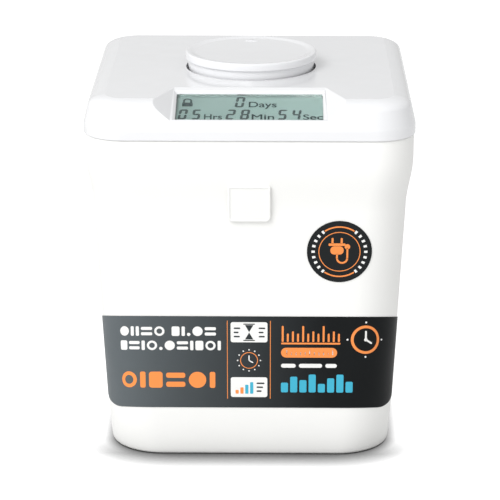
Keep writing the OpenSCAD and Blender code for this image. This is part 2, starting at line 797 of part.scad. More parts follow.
module display_panel() {
    color([0.6, 0.72, 0.68])
    on_slope()
        block([-display_w / 2 - 1, -display_h / 2 + 0.5, -panel_depth - panel_t],
            [display_w / 2 + 1, display_h / 2 + 1, -panel_depth]);
}

// Flat flexible ribbon: it lies on the back of the panel, bends down and ends flat on the board
ribbon_w = 30;
ribbon_t = 0.3;
function behind_panel(u) =
    let (d = panel_depth + panel_t)
    [display_mid_y + u * cos(slope_angle) + d * sin(slope_angle),
        display_mid_z + u * sin(slope_angle) - d * cos(slope_angle)];
// Points a distance t to the right of a flat path
function beside(path, t) = [for (i = [0:len(path) - 1])
    let (v = path[min(i + 1, len(path) - 1)] - path[max(i - 1, 0)])
    path[i] + t / norm(v) * [v[1], -v[0]]];
module display_ribbon() {
    bend = curve([behind_panel(display_h / 2 - 4), behind_panel(display_h / 2) + [0.6, -1],
        [board_front - 3, board_top + 4.5], [board_front + 0.5, board_top + 1.2],
        [board_front + 4, board_top + ribbon_t]], 4);
    path = concat([behind_panel(2)], bend, [[board_front + 9, board_top + ribbon_t]]);
    under = beside(path, ribbon_t);
    color([0.75, 0.5, 0.2])
    translate([-ribbon_w / 2, 0, 0])
        rotate([90, 0, 90])
            linear_extrude(height = ribbon_w)
                polygon(concat(path, [for (i = [len(path) - 1:-1:0]) under[i]]));
}

// ==== Board and encoder ====

module circuit_board() {
    color(board_green)
    difference() {
        block([-board_half, board_front, board_z], [board_half, board_back, board_top]);
        rotate([0, 0, motor_angle]) rod(motor_r + 2.4, board_z - 1, board_top + 1, [gear_distance, 0]);
        for (s = [-1, 1]) for (y = [post_front, post_back])
            rod(1, board_z - 1, board_top + 1, [s * post_x, y]);
    }
}

module encoder_body() {
    color([0.2, 0.2, 0.22])
    difference() {
        union() {
            block([-encoder_w / 2, -encoder_w / 2, board_top], [encoder_w / 2, encoder_w / 2, encoder_top]);
            rod(bushing_r, encoder_top - 1, encoder_top + bushing_h);
        }
        rod(shaft_r + 0.1, board_top + 1, encoder_top + bushing_h + 1);
        rod(rotor_r + 0.15, rotor_z - 0.1, rotor_z + rotor_t + 0.1);
        rod(plunger_r + 0.15, board_top + 0.5, shaft_bottom + 0.1);
    }
}

// Flat on the shaft and in the rotor, which turns the one with the other
shaft_flat = 1.5;
module encoder_rotor() {
    color(works_white)
    difference() {
        rod(rotor_r, rotor_z, rotor_z + rotor_t);
        difference() {
            rod(shaft_r + 0.05, rotor_z - 1, rotor_z + rotor_t + 1);
            block([-shaft_r - 1, -shaft_r - 1, rotor_z - 2],
                [shaft_r + 1, -shaft_flat - 0.05, rotor_z + rotor_t + 2]);
        }
    }
}

module switch_plunger() {
    color([0.15, 0.15, 0.16])
        rod(plunger_r, shaft_bottom - plunger_t, shaft_bottom);
}

module dial_shaft() {
    color(steel_grey)
    difference() {
        rod(shaft_r, shaft_bottom, collar_top - 0.5);
        block([-shaft_r - 1, -shaft_r - 1, shaft_bottom - 1],
            [shaft_r + 1, -shaft_flat, rotor_z + rotor_t + press_travel + 0.5]);
    }
}

// ==== Dial ====

module dial_collar() {
    color(shell_white)
    difference() {
        rod(collar_r, collar_bottom, collar_top);
        difference() {
            rod(collar_r - collar_wall, collar_bottom - 1, collar_top - collar_deck);
            rod(hub_r, hub_bottom, collar_top);
        }
        rod(shaft_r + 0.02, hub_bottom - 1, collar_top - 0.5);
    }
}

module dial_cap() {
    rim_in = cap_r - cap_edge_r - cap_rim_w;
    edge = [for (i = [0:6]) let (a = 90 * i / 6)
        [cap_r - cap_edge_r + cap_edge_r * cos(a), cap_top - cap_edge_r + cap_edge_r * sin(a)]];
    dish = [for (i = [0:6]) let (t = i / 6)
        [rim_in - t * cap_rim_w * 2, cap_top - cap_dish * smooth(t)]];
    color(shell_white) {
        rotate_extrude($fn = 96)
            polygon(concat([[0, collar_top], [cap_r - 0.5, collar_top], [cap_r, collar_top + 0.5]],
                edge, dish, [[0, cap_top - cap_dish]]));
        translate([0, pointer_y, cap_top - cap_dish - 0.2])
            linear_extrude(height = pointer_t + 0.2)
                polygon([[-pointer_w / 2, -pointer_l / 2], [pointer_w / 2, -pointer_l / 2],
                    [0, pointer_l / 2]]);
    }
}

// ==== Lock works ====

// Involute gear outline: flank points from the root to the tip, mirrored for the other side
tooth_play = 0.12;
addendum = 0.8 * gear_module;
function involute_angle(rb, r) = r <= rb ? 0
    : let (t = sqrt(pow(r / rb, 2) - 1)) t * 180 / PI - atan(t);
function gear_outline(teeth, m, tip) =
    let (rp = m * teeth / 2, rb = rp * cos(20), ra = rp + tip, rf = rp - 1.15 * m,
        half = 90 / teeth * (1 - tooth_play) + involute_angle(rb, rp),
        radii = [rf, max(rb, rf + 0.05), rp, ra])
    [for (i = [0:teeth - 1]) let (c = 360 * i / teeth)
        each concat(
            [for (r = radii) let (a = c - half + involute_angle(rb, r)) r * [cos(a), sin(a)]],
            [for (k = [3:-1:0]) let (r = radii[k], a = c + half - involute_angle(rb, r))
                r * [cos(a), sin(a)]])];

// Slot whose radius grows steadily with the angle; the bolt's pin follows it outwards
slot_steps = 20;
slot_half = pin_r + 0.15;
function slot_point(a, d) = (pin_rest_r + pin_rate * a + d) * [cos(a), -sin(a)];
module cam_slot() {
    polygon(concat(
        [for (i = [0:slot_steps]) slot_point(cam_angle * i / slot_steps, slot_half * slot_slant)],
        [for (i = [slot_steps:-1:0]) slot_point(cam_angle * i / slot_steps, -slot_half * slot_slant)]));
    for (a = [0, cam_angle])
        translate(slot_point(a, 0)) circle(r = slot_half);
}
// The slot runs slightly across the radius, so its radial width is a little more than its width
slot_slant = sqrt(1 + pow(pin_rate * 180 / PI / pin_rest_r, 2)) + 0.01;

module cam_wheel() {
    color([0.25, 0.45, 0.75])
    translate([0, 0, cam_z])
        linear_extrude(height = cam_t)
            difference() {
                rotate(motor_angle) polygon(gear_outline(cam_teeth, gear_module, addendum));
                circle(r = pivot_r + 0.1);
                cam_slot();
                rotate(180) cam_slot();
            }
}

// Bolt on the +X side: a flat bar with a drop pin near its inner end and a chamfered tip
module bolt() {
    chamfer = 0.8;
    difference() {
        block([bolt_inner, -bolt_w / 2, bolt_z], [bolt_tip, bolt_w / 2, bolt_z + bolt_t]);
        for (s = [-1, 1])
            translate([bolt_tip, s * bolt_w / 2, bolt_z - 1])
                rotate(45) cube([2 * chamfer, 2 * chamfer, 2 * bolt_t + 4], center = true);
        // Lightening window, clear of the pin
        block([pin_rest_r + 8, -bolt_w / 2 + 5, bolt_z - 1],
            [guide_x + 8, bolt_w / 2 - 5, bolt_z + bolt_t + 1]);
    }
    rod(pin_r, cam_z + 0.3, bolt_z + 1, [pin_rest_r, 0]);
}

module right_bolt() {
    color([0.9, 0.55, 0.2]) bolt();
}

module left_bolt() {
    color([0.9, 0.55, 0.2]) rotate([0, 0, 180]) bolt();
}

// The wheel has a tooth towards the motor, and half a tooth's turn puts a gap of the pinion on it
pinion_phase = 180 / pinion_teeth;
module at_motor() {
    rotate([0, 0, motor_angle])
        translate([gear_distance, 0, 0])
            children();
}

module motor_pinion() {
    color([0.85, 0.75, 0.35])
    at_motor()
        translate([0, 0, cam_z])
            linear_extrude(height = cam_t)
                difference() {
                    rotate(180 + pinion_phase)
                        polygon(gear_outline(pinion_teeth, gear_module, addendum));
                    circle(r = motor_shaft_r + 0.02);
                }
}

module motor_shaft() {
    color(steel_grey)
    at_motor() rod(motor_shaft_r, cam_z - 0.8, gearbox_z + 2);
}

module motor_gearbox() {
    color([0.8, 0.68, 0.35])
    at_motor()
        difference() {
            block([-gearbox_w / 2, -gearbox_d / 2, gearbox_z], [gearbox_w / 2, gearbox_d / 2, motor_z]);
            rod(motor_shaft_r + 0.1, gearbox_z - 1, gearbox_z + 2.2);
        }
}

module motor_can() {
    color(steel_grey)
    at_motor()
        intersection() {
            rod(motor_r, motor_z, motor_z + motor_h);
            block([-motor_r, -gearbox_d / 2, motor_z], [motor_r, gearbox_d / 2, motor_z + motor_h]);
        }
}

// Bent plate: a deck under the gearbox, two cheeks that grip it, and a leg down to the tray
module motor_bracket() {
    color(steel_grey)
    at_motor()
        difference() {
            union() {
                block([-gearbox_w / 2 - 0.5, -gearbox_d / 2 - bracket_t, bracket_z],
                    [bracket_leg_x - gear_distance, gearbox_d / 2 + bracket_t, gearbox_z]);
                for (s = [-1, 1])
                    block([-cheek_half, s * (gearbox_d / 2 + bracket_t / 2) - bracket_t / 2, bracket_z],
                        [cheek_half, s * (gearbox_d / 2 + bracket_t / 2) + bracket_t / 2,
                        motor_z - cheek_low]);
                block([bracket_leg_x - gear_distance - bracket_t, -gearbox_d / 2 - bracket_t, tray_top],
                    [bracket_leg_x - gear_distance, gearbox_d / 2 + bracket_t, gearbox_z]);
            }
            rod(motor_shaft_r + 1, bracket_z - 1, gearbox_z + 1);
        }
}

// Two insulated wires from the motor's terminals, over its side and down to the board
lead_r = 0.6;
lead_sides = 8;
module motor_leads() {
    top = motor_z + motor_h;
    color([0.75, 0.15, 0.12])
    at_motor()
        for (s = [-1, 1])
            tube_along(curve([[motor_r + lead_r, s * 2, top - 3], [motor_r + 1.6, s * 2, top - 4.2],
                [motor_r + 2.6, s * 2.4, top - 6.5], [motor_r + 4.4, s * 3, board_top + 1.6],
                [motor_r + 6.4, s * 3.2, board_top + lead_r]], 4), lead_r, lead_sides);
}

// ==== Batteries ====

// A cell along X with its stud towards the side s, its axis at y
module cell(s, y) {
    stud_end = s * (bay_half - plate_t);
    translate([stud_end, y, cell_z])
        rotate([0, -90 * s, 0]) {
            cylinder(r = stud_r, h = stud_l + 0.2);
            translate([0, 0, stud_l]) cylinder(r = cell_r, h = cell_l - stud_l);
        }
}

module battery_1() {
    color([0.75, 0.55, 0.2]) cell(1, cell_front_y);
}

module battery_2() {
    color([0.75, 0.55, 0.2]) cell(-1, cell_rear_y);
}

// Cone-shaped coil from the terminal plate at the side s to the flat end of a cell
spring_steps = spring_turns * spring_rings;
function spring_path(s, y) = [for (i = [0:spring_steps]) let (t = i / spring_steps,
        r = spring_r_plate + (spring_r_cell - spring_r_plate) * t, a = 360 * spring_turns * t,
        run = spring_wire_r + (spring_l - 2 * spring_wire_r) * t)
    [s * (bay_half - plate_t - run), y + r * cos(a), cell_z + r * sin(a)]];
spring_least_gap = min([for (i = [0:spring_steps - spring_rings])
    norm(spring_path(1, 0)[i + spring_rings] - spring_path(1, 0)[i])]) - 2 * spring_wire_r;
echo(str("battery spring: least gap between turns ", spring_least_gap, " mm"));

module battery_springs() {
    color(steel_grey) {
        tube_along(spring_path(-1, cell_front_y), spring_wire_r, spring_sides);
        tube_along(spring_path(1, cell_rear_y), spring_wire_r, spring_sides);
    }
}

// Two end plates on the -X side, each with a tail up through the bay's roof
module battery_terminals() {
    color(steel_grey)
    for (y = [cell_front_y, cell_rear_y]) {
        block([-bay_half, y - plate_half, cell_z - plate_half],
            [-bay_half + plate_t, y + plate_half, cell_z + plate_half]);
        block([-bay_half, y - tail_half, cell_z + plate_half - 0.2],
            [-bay_half + plate_t, y + tail_half, tail_end_z]);
    }
}

module battery_bridge() {
    color(steel_grey)
        block([bay_half - plate_t, cell_front_y - plate_half, cell_z - plate_half],
            [bay_half, cell_rear_y + plate_half, cell_z + plate_half]);
}

// Two wires from the terminals' tails to the back edge of the board
lead_x = -36;
lead_pitch = 3;
module battery_leads() {
    tail = bay_top + bay_top_t + 0.8;
    color([0.1, 0.1, 0.1])
    for (i = [0, 1]) {
        y = [cell_front_y, cell_rear_y][i];
        x_end = lead_x + lead_pitch * i;
        tube_along(curve([[-bay_half - lead_r, y, tail], [-bay_half - 3, y - 0.6, tail + 0.6],
            [-bay_half - 5, y - 4, tail + 2], [x_end, board_back + 3, board_top + 2.6],
            [x_end, board_back - 1.5, board_top + 1.1], [x_end, board_back - 4, board_top + lead_r]], 4),
            lead_r, lead_sides);
    }
}

module battery_door() {
    color(works_white)
    difference() {
        union() {
            block([-door_half, hinge_y, plug_z], [door_half, bay_rear - slip, plug_z + door_t]);
            translate([-door_half, hinge_y, hinge_z])
                rotate([0, 90, 0]) cylinder(r = hinge_r, h = 2 * door_half);
            translate([-door_half - slip - ear_l + 0.5, hinge_y, hinge_z])
                rotate([0, 90, 0]) cylinder(r = hinge_pin_r, h = 2 * (door_half + slip + ear_l - 0.5));
            // Catch at the rear edge
            block([-catch_half, bay_rear - slip - catch_t, plug_z],
                [catch_half, bay_rear - slip, plug_z + catch_h]);
            block([-catch_half, bay_rear - slip - catch_t, plug_z + catch_h - 1],
                [catch_half, bay_rear + 0.25, plug_z + catch_h]);
        }
        // Finger recess by the catch
        translate([0, bay_rear - recess_in, plug_z - recess_low])
            sphere(r = recess_r);
    }
}

base_tub();
front_label();
round_sticker();
port_plug();
lid_cover();
lid_tray();
display_window();
display_panel();
display_ribbon();
circuit_board();
encoder_body();
encoder_rotor();
switch_plunger();
dial_shaft();
dial_collar();
dial_cap();
motor_can();
motor_gearbox();
motor_bracket();
motor_shaft();
motor_pinion();
motor_leads();
cam_wheel();
left_bolt();
right_bolt();
battery_1();
battery_2();
battery_springs();
battery_terminals();
battery_bridge();
battery_leads();
battery_door();
case_screws();
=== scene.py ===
"""Timed lock container: the visible pieces, their finishes and the studio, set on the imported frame."""

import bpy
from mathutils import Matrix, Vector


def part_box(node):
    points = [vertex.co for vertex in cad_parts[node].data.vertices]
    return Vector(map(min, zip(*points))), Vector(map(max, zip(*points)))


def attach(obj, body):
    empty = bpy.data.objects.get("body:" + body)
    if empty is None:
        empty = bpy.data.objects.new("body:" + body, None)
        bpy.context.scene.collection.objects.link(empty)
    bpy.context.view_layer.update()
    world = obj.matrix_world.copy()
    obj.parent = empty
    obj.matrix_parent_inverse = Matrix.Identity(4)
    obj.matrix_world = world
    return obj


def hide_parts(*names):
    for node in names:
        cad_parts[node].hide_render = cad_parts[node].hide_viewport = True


bl_info = {
    "name": "Timed lock container",
    "version": (1, 0, 0),
    "blender": (4, 5, 0),
    "location": "3D View > Sidebar > Lock Box",
    "description": "Builds a countertop timed lock container piece by piece on its packed frame",
    "category": "Object",
}

import math

import bmesh
import bpy
from mathutils import Matrix, Vector

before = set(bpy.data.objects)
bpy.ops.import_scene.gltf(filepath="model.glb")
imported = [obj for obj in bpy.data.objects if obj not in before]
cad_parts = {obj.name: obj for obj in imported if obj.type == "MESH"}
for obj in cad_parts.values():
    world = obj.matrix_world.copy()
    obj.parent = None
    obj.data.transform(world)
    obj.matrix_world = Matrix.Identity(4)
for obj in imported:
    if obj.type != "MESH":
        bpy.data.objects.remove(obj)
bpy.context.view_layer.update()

# ---- Sizes and colours that a user may change ------------------------------------------------


def length(name, description, default):
    return bpy.props.FloatProperty(
        name=name, description=description, default=default, unit="LENGTH", precision=4
    )


def angle(name, description, degrees):
    return bpy.props.FloatProperty(
        name=name, description=description, default=math.radians(degrees), subtype="ANGLE"
    )


def colour(name, description, default):
    return bpy.props.FloatVectorProperty(
        name=name, description=description, default=default, size=3,
        min=0.0, max=1.0, subtype="COLOR",
    )


class TubSizes(bpy.types.PropertyGroup):
    """Sizes of the tub"""

    height: length("Height", "Table to rim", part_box("base_tub")[1].z)
    rim_half: length("Rim half width", "Half width of the band at the rim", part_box("base_tub")[1].x)
    flare_out: length("Flare", "How far the rim band stands out beyond the tapered side", 0.00307)
    taper: bpy.props.FloatProperty(
        name="Taper", description="Widening of each side per unit of height", default=0.0475
    )
    flare_h: length("Flare height", "Height of the flare below the rim band", 0.026)
    band_h: length("Band height", "Height of the band at the rim", 0.012)
    corner_low: length("Corner radius, table", "Corner radius of the plan at the table", 0.0265)
    corner_high: length("Corner radius, rim", "Corner radius of the plan at the rim", 0.019)
    edge: length("Bottom edge", "Radius of the bottom edge", 0.0016)
    draw_in: length("Foot", "How far the sides draw in at the foot", 0.0006)
    draw_h: length("Foot height", "Height over which the sides draw in", 0.027)
    wall: length("Wall", "Thickness of the wall", 0.0025)
    floor: length("Floor", "Thickness of the floor", 0.003)
    rim_wall: length("Rim wall", "Wall at the rim", 0.0048)
    port_w: length("Port width", "Width of the charging port", 0.014)
    port_h: length("Port height", "Height of the charging port", 0.012)
    port_z: length("Port place", "Height of the port's middle", 0.1329)


class LidSizes(bpy.types.PropertyGroup):
    """Sizes of the lid and its display"""

    top: length("Top", "Height of the flat top", 0.1824)
    half: length("Half width", "Half width of the skirt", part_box("lid_cover")[1].x)
    corner: length("Corner radius", "Corner radius of the skirt", 0.02)
    skirt_z: length("Skirt edge", "Height of the skirt's lower edge", 0.16412)
    lean_z: length("Lean start", "Height where the side starts to lean", 0.169)
    lean_h: length("Lean height", "Height of the leaning side", 0.0086)
    lean: angle("Lean", "Angle of the leaning side", 13.5)
    crease_in: length("Crease", "Distance of the flat top's crease in from the skirt", 0.0105)
    crease: angle("Crease angle", "Angle at which the shoulder leaves the top", 8)
    wall: length("Wall", "Thickness of the cover", 0.0024)
    slope_run: length("Slope depth", "Depth of the sloping display face", 0.033)
    slope_drop: length("Slope drop", "Height of the sloping display face", 0.009)
    slope_half: length("Slope half width", "Half width of the slope at its back edge", 0.0367)
    display_w: length("Display width", "Width of the display opening", 0.0704)
    display_h: length("Display height", "Height of the display opening", 0.027)
    display_bevel: length("Display bevel", "Bevel round the display opening", 0.0015)
    window_recess: length("Window depth", "Depth of the window's face", 0.0012)
    dial_r: length("Dial radius", "Radius of the dial's cap", 0.033)
    collar_r: length("Collar radius", "Radius of the collar under the cap", 0.03165)


class Colours(bpy.types.PropertyGroup):
    """Colours of the finishes"""

    tub: colour("Tub", "Satin off-white moulding", (0.865, 0.865, 0.847))
    lid: colour("Lid", "Glossy white moulding", (0.785, 0.79, 0.805))
    label: colour("Label", "Dark charcoal film", (0.009, 0.0103, 0.011))
    orange: colour("Orange ink", "Accent ink of the labels", (0.93, 0.29, 0.07))
    cyan: colour("Cyan ink", "Second accent ink of the label", (0.05, 0.44, 0.62))
    paper: colour("White ink", "White ink of the labels", (0.87, 0.87, 0.85))
    crystal: colour("Display", "Grey-green of the reflective display", (0.232, 0.332, 0.313))
    segment: colour("Segments", "Dark segments of the display", (0.012, 0.03, 0.032))


# ---- Materials -------------------------------------------------------------------------------


def grey(level):
    return (level, level, level, 1.0)


def shade(rgb, factor):
    return (rgb[0] * factor, rgb[1] * factor, rgb[2] * factor, 1.0)


def feed(tree, socket, value):
    """Links an input to another node's output, or sets it to a number or a colour."""
    if isinstance(value, bpy.types.NodeSocket):
        tree.links.new(value, socket)
    else:
        socket.default_value = value


def add_node(tree, kind, inputs=None, **settings):
    """Adds a node; an input is a number, a colour or another node's output."""
    made = tree.nodes.new(kind)
    for key, value in settings.items():
        setattr(made, key, value)
    for key, value in (inputs or {}).items():
        feed(tree, made.inputs[key], value)
    return made


def spread(tree, value, low, high, start=0.35, end=0.65, **settings):
    """A value from start to end mapped onto low to high; the defaults suit a noise."""
    return add_node(
        tree, "ShaderNodeMapRange",
        {"Value": value, "From Min": start, "From Max": end, "To Min": low, "To Max": high},
        **settings,
    ).outputs["Result"]


class Finish:
    """A material in the making; an earlier one of its name is replaced."""

    def __init__(self, name):
        old = bpy.data.materials.get(name)
        if old:
            bpy.data.materials.remove(old)
        made = bpy.data.materials.new(name)
        made.use_nodes = True
        self.tree = made.node_tree
        self.place = self.node("ShaderNodeTexCoord").outputs["Object"]

    def node(self, kind, inputs=None, **settings):
        return add_node(self.tree, kind, inputs, **settings)

    def spread(self, value, low, high, *limits, **settings):
        return spread(self.tree, value, low, high, *limits, **settings)

    def axis(self, name):
        return self.node("ShaderNodeSeparateXYZ", {"Vector": self.place}).outputs[name]

    def stretched(self, scale):
        return self.node("ShaderNodeMapping", {"Vector": self.place, "Scale": scale}).outputs["Vector"]

    def noise(self, scale, detail=3.0, roughness=0.5, place=None):
        return self.node("ShaderNodeTexNoise", {
            "Vector": place or self.place, "Scale": scale, "Detail": detail, "Roughness": roughness,
        }).outputs["Fac"]

    def maths(self, operation, first, second):
        return self.node("ShaderNodeMath", {0: first, 1: second}, operation=operation).outputs["Value"]

    def blend(self, factor, first, second):
        mixed = self.node("ShaderNodeMix", data_type="RGBA")
        for name, value in (("Factor_Float", factor), ("A_Color", first), ("B_Color", second)):
            feed(self.tree, next(s for s in mixed.inputs if s.identifier == name), value)
        return next(s for s in mixed.outputs if s.identifier == "Result_Color")

    def mottled(self, texture, first, second):
        """Two colours mixed by a noise."""
        return self.blend(self.spread(texture, 0.0, 1.0), first, second)

    def relief(self, height, distance, strength=1.0):
        return self.node("ShaderNodeBump", {
            "Height": height, "Distance": distance, "Strength": strength}).outputs["Normal"]

    def wire(self, inputs):
        shader = self.tree.nodes["Principled BSDF"]
        for key, value in inputs.items():
            feed(self.tree, shader.inputs[key], value)


def moulded_plastic(name, rgb, rough, grain=0.00003, grain_scale=1400.0, mottle=0.02, coat=0.0):
    """Moulded plastic: faint flow marks in its colour, uneven gloss and a fine spark-eroded skin."""
    f = Finish(name)
    f.wire({
        "Base Color": f.mottled(f.noise(14.0, 2.0), shade(rgb, 1.0 - mottle), shade(rgb, 1.0)),
        "Roughness": f.spread(f.noise(70.0, 4.0), rough - 0.03, rough + 0.03),
        "Normal": f.relief(f.noise(grain_scale, 2.0, 0.6), grain),
        "Coat Weight": coat,
        "Coat Roughness": 0.06,
    })


def printed_film(name, rgb, rough=0.42, sheen=0.3, lighter=1.0, painted_sheen_span=(-0.072, 0.043)):
    """Printed film with a faint screen pattern; it may carry a painted sheen that lightens it towards
    the left.
    """
    f = Finish(name)
    density = f.noise(45.0, 4.0, 0.6)
    dots = f.node("ShaderNodeTexVoronoi", {"Vector": f.place, "Scale": 2600.0}, feature="F1")
    # Painted sheen: the colour grows lighter towards the left, where the light comes from
    painted_sheen_side = f.maths("POWER", f.spread(f.axis("X"), 1.0, 0.0, *painted_sheen_span), 1.5)
    uneven = f.node("ShaderNodeMixRGB", {
        "Fac": 1.0,
        "Color1": f.blend(painted_sheen_side, shade(rgb, 1.0), shade(rgb, lighter)),
        "Color2": f.mottled(density, grey(0.94), grey(1.0)),
    }, blend_type="MULTIPLY")
    f.wire({
        "Base Color": uneven.outputs["Color"],
        "Roughness": f.spread(density, rough + 0.03, rough - 0.03),
        "Normal": f.relief(dots.outputs["Distance"], 0.00001, 0.4),
        "Specular IOR Level": sheen,
    })


def metal(name, rgb, rough):
    """Plated or drawn metal: fine lines along one direction and cloudy roughness."""
    f = Finish(name)
    grain = f.noise(220.0, 2.0, place=f.stretched((1.0, 1.0, 40.0)))
    f.wire({
        "Base Color": f.mottled(f.noise(90.0), shade(rgb, 0.88), shade(rgb, 1.0)),
        "Roughness": f.spread(grain, rough - 0.08, rough + 0.1),
        "Normal": f.relief(grain, 0.00001, 0.6),
        "Metallic": 1.0,
    })


def clear_window(name):
    """Clear moulded window, with a very faint ripple and a slightly green tint."""
    f = Finish(name)
    ripple = f.noise(35.0, 1.0)
    f.wire({
        "Base Color": f.mottled(ripple, (0.93, 0.98, 0.96, 1), (0.97, 1, 0.99, 1)),
        "Roughness": f.spread(ripple, 0.0, 0.012),
        "Normal": f.relief(ripple, 0.00001, 0.2),
        "Transmission Weight": 1.0,
        "IOR": 1.33,
    })


def liquid_crystal(name, rgb, shadow_low, shadow_high, rate):
    """Reflective liquid crystal, brushed, with painted shade at its left and a painted shadow of the
    opening in a band along its upper edge.
    """
    f = Finish(name)
    # Painted shadow of the opening's upper edge: a darker band along that edge
    band = f.spread(f.axis("Y"), 0.0, 1.0, shadow_low, shadow_high, interpolation_type="SMOOTHSTEP")
    streak = f.noise(260.0, 2.0, place=f.stretched((1.0, 14.0, 1.0)))
    base = f.mottled(streak, shade(rgb, 0.97), shade(rgb, 1.03))
    # Painted shade: darker towards the left
    even = f.blend(f.spread(f.axis("X"), 0.0, 1.0, -0.036, 0.03), shade(rgb, 0.78), base)
    f.wire({
        "Base Color": f.blend(band, even, shade(rgb, rate)),
        "Roughness": 0.55,
        "Normal": f.relief(streak, 0.00001, 0.3),
    })


def circuit_green(name, mask, copper):
    """Solder mask over copper: tracks show as a lighter green, with a raised edge."""
    f = Finish(name)
    tracks = f.node("ShaderNodeTexBrick", {
        "Vector": f.place, "Scale": 330.0, "Mortar Size": 0.012, "Bias": 0.0,
        "Brick Width": 1.3, "Row Height": 0.42,
        "Color1": shade(mask, 1.0), "Color2": shade(mask, 1.25), "Mortar": shade(copper, 1.6),
    }, offset=0.37, squash=1.0).outputs
    cloud = f.noise(60.0)
    f.wire({
        "Base Color": f.blend(f.spread(cloud, 0.0, 0.35), tracks["Color"], shade(copper, 1.0)),
        "Roughness": f.spread(cloud, 0.22, 0.34),
        "Normal": f.relief(tracks["Fac"], 0.00003, 0.6),
    })


def cell_jacket(name, dark, band, band_start, band_end):
    """Plain printed cell jacket: a dark sleeve with a copper-coloured band at one end."""
    f = Finish(name)
    side = f.spread(f.axis("X"), 0.0, 1.0, band_start, band_end)
    scuff = f.noise(120.0, 4.0)
    sleeve = f.blend(side, shade(dark, 1.0), shade(band, 1.0))
    f.wire({
        "Base Color": f.blend(f.spread(scuff, 0.0, 0.12), sleeve, grey(0.7)),
        "Roughness": f.spread(scuff, 0.24, 0.36),
        "Normal": f.relief(scuff, 0.00001, 0.4),
        "Metallic": 0.35,
    })


def pale_floor(name):
    """White light-table floor with a painted contact shadow, darker where something stands close to it.
    """
    f = Finish(name)
    # Painted contact shadow from ambient occlusion: short and faint beside the tub, longer and darker in
    # front of it
    front = (-0.069, -0.045)
    beside, before = (
        f.node("ShaderNodeAmbientOcclusion", {"Distance": reach}, samples=8).outputs["AO"]
        for reach in (0.006, 0.021)
    )
    ahead = f.axis("Y")
    lit = f.node("ShaderNodeMix", {
        "Factor": f.spread(ahead, 1.0, 0.0, *front), "A": beside, "B": before}).outputs["Result"]
    shadow = f.maths("POWER", lit, f.spread(ahead, 2.8, 1.4, *front))
    tone = f.mottled(f.noise(3.0, 2.0), grey(0.27), grey(0.29))
    # The table itself shows white, and lights what stands on it less than it shows
    seen = f.node("ShaderNodeLightPath").outputs["Is Camera Ray"]
    f.wire({
        "Base Color": f.blend(shadow, grey(0.0), tone),
        "Emission Color": grey(1.0),
        "Emission Strength": f.maths("MULTIPLY", shadow, f.spread(seen, 0.55, 0.98, 0.0, 1.0)),
        "Roughness": 0.9,
        "Specular IOR Level": 0.05,
    })


# ---- Mesh helpers, in millimetres until a piece is finished ---------------------------------

MM = 0.001


def mm(value):
    return value / MM


def smooth(t):
    t = min(max(t, 0.0), 1.0)
    return t * t * (3 - 2 * t)


def link(name, data):
    """A new object in the scene."""
    made = bpy.data.objects.new(name, data)
    bpy.context.scene.collection.objects.link(made)
    return made


def quarter(steps):
    """(cosine, sine) pairs from 0 to 90 degrees."""
    angles = [math.radians(90 * k / steps) for k in range(steps + 1)]
    return [(math.cos(a), math.sin(a)) for a in angles]


def finish_piece(name, bm, body, finishes, stands_for=(), sharp=32.0, bevel=0.0,
                 bevel_angle=32.0, bevel_steps=2, even=False):
    """Turns a mesh in millimetres into a piece that rides on a body; finishes are names."""
    bmesh.ops.scale(bm, vec=(MM, MM, MM), verts=bm.verts)
    mesh = bpy.data.meshes.new(name)
    bm.to_mesh(mesh)
    bm.free()
    mesh.polygons.foreach_set("use_smooth", [True] * len(mesh.polygons))
    if not bevel:
        mesh.set_sharp_from_angle(angle=math.radians(sharp))
    old = bpy.data.objects.get(name)
    if old:
        bpy.data.objects.remove(old)
    piece = link(name, mesh)
    for finish in finishes:
        mesh.materials.append(bpy.data.materials[finish])
    if bevel:
        rounding = piece.modifiers.new("Rounded edges", "BEVEL")
        rounding.width = bevel * MM
        rounding.segments = bevel_steps
        rounding.limit_method = "ANGLE"
        rounding.angle_limit = math.radians(bevel_angle)
        rounding.use_clamp_overlap = False
        rounding.harden_normals = True
    if even:
        weigh = piece.modifiers.new("Even shading", "WEIGHTED_NORMAL")
        weigh.keep_sharp = True
    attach(piece, body)
    if stands_for:
        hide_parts(*stands_for)
    return piece


def outward(bm):
    bmesh.ops.recalc_face_normals(bm, faces=bm.faces)


def move(bm, matrix):
    bmesh.ops.transform(bm, matrix=matrix, verts=bm.verts)


def rounded_face(bm, half_x, half_y, radius, steps, z=0.0, centre=(0.0, 0.0), radius_high=None):
    """A flat rounded rectangle as one face; radius_high is that of its upper (+Y) corners."""
    before = set(bm.faces)
    made = bmesh.ops.create_grid(bm, x_segments=1, y_segments=1, size=1.0)["verts"]
    bmesh.ops.scale(bm, vec=(half_x, half_y, 1.0), verts=made)
    bmesh.ops.translate(bm, vec=(centre[0], centre[1], z), verts=made)
    groups = [(made, radius)]
    if radius_high is not None:
        low = [v for v in made if v.co.y < centre[1]]
        groups = [(low, radius), ([v for v in made if v not in low], radius_high)]
    for corners, r in groups:
        bmesh.ops.bevel(
            bm, geom=corners, offset=r, offset_type="OFFSET", segments=steps, profile=0.5,
            affect="VERTICES", material=-1,
        )
    return next(f for f in bm.faces if f not in before)


def outline(bm, *shape):
    """The edges of a rounded face."""
    face = rounded_face(bm, *shape)
    edges = list(face.edges)
    bmesh.ops.delete(bm, geom=[face], context="FACES_ONLY")
    return edges


def skin(bm, loops):
    """Bridges outlines in their order and closes both ends."""
    for below, above in zip(loops, loops[1:]):
        bmesh.ops.bridge_loops(bm, edges=below + above)
    for end in (loops[0], loops[-1]):
        bmesh.ops.contextual_create(bm, geom=end)
    outward(bm)


def loft(bm, levels, steps):
    """Skins rounded squares of a half width, a corner radius and a height each."""
    skin(bm, [outline(bm, half, half, radius, steps, z) for half, radius, z in levels])


def block(bm, low, high):
    made = bmesh.ops.create_cube(bm, size=1.0)["verts"]
    size = [h - l for l, h in zip(low, high)]
    bmesh.ops.scale(bm, vec=size, verts=made)
    bmesh.ops.translate(bm, vec=[(l + h) / 2 for l, h in zip(low, high)], verts=made)
    return made


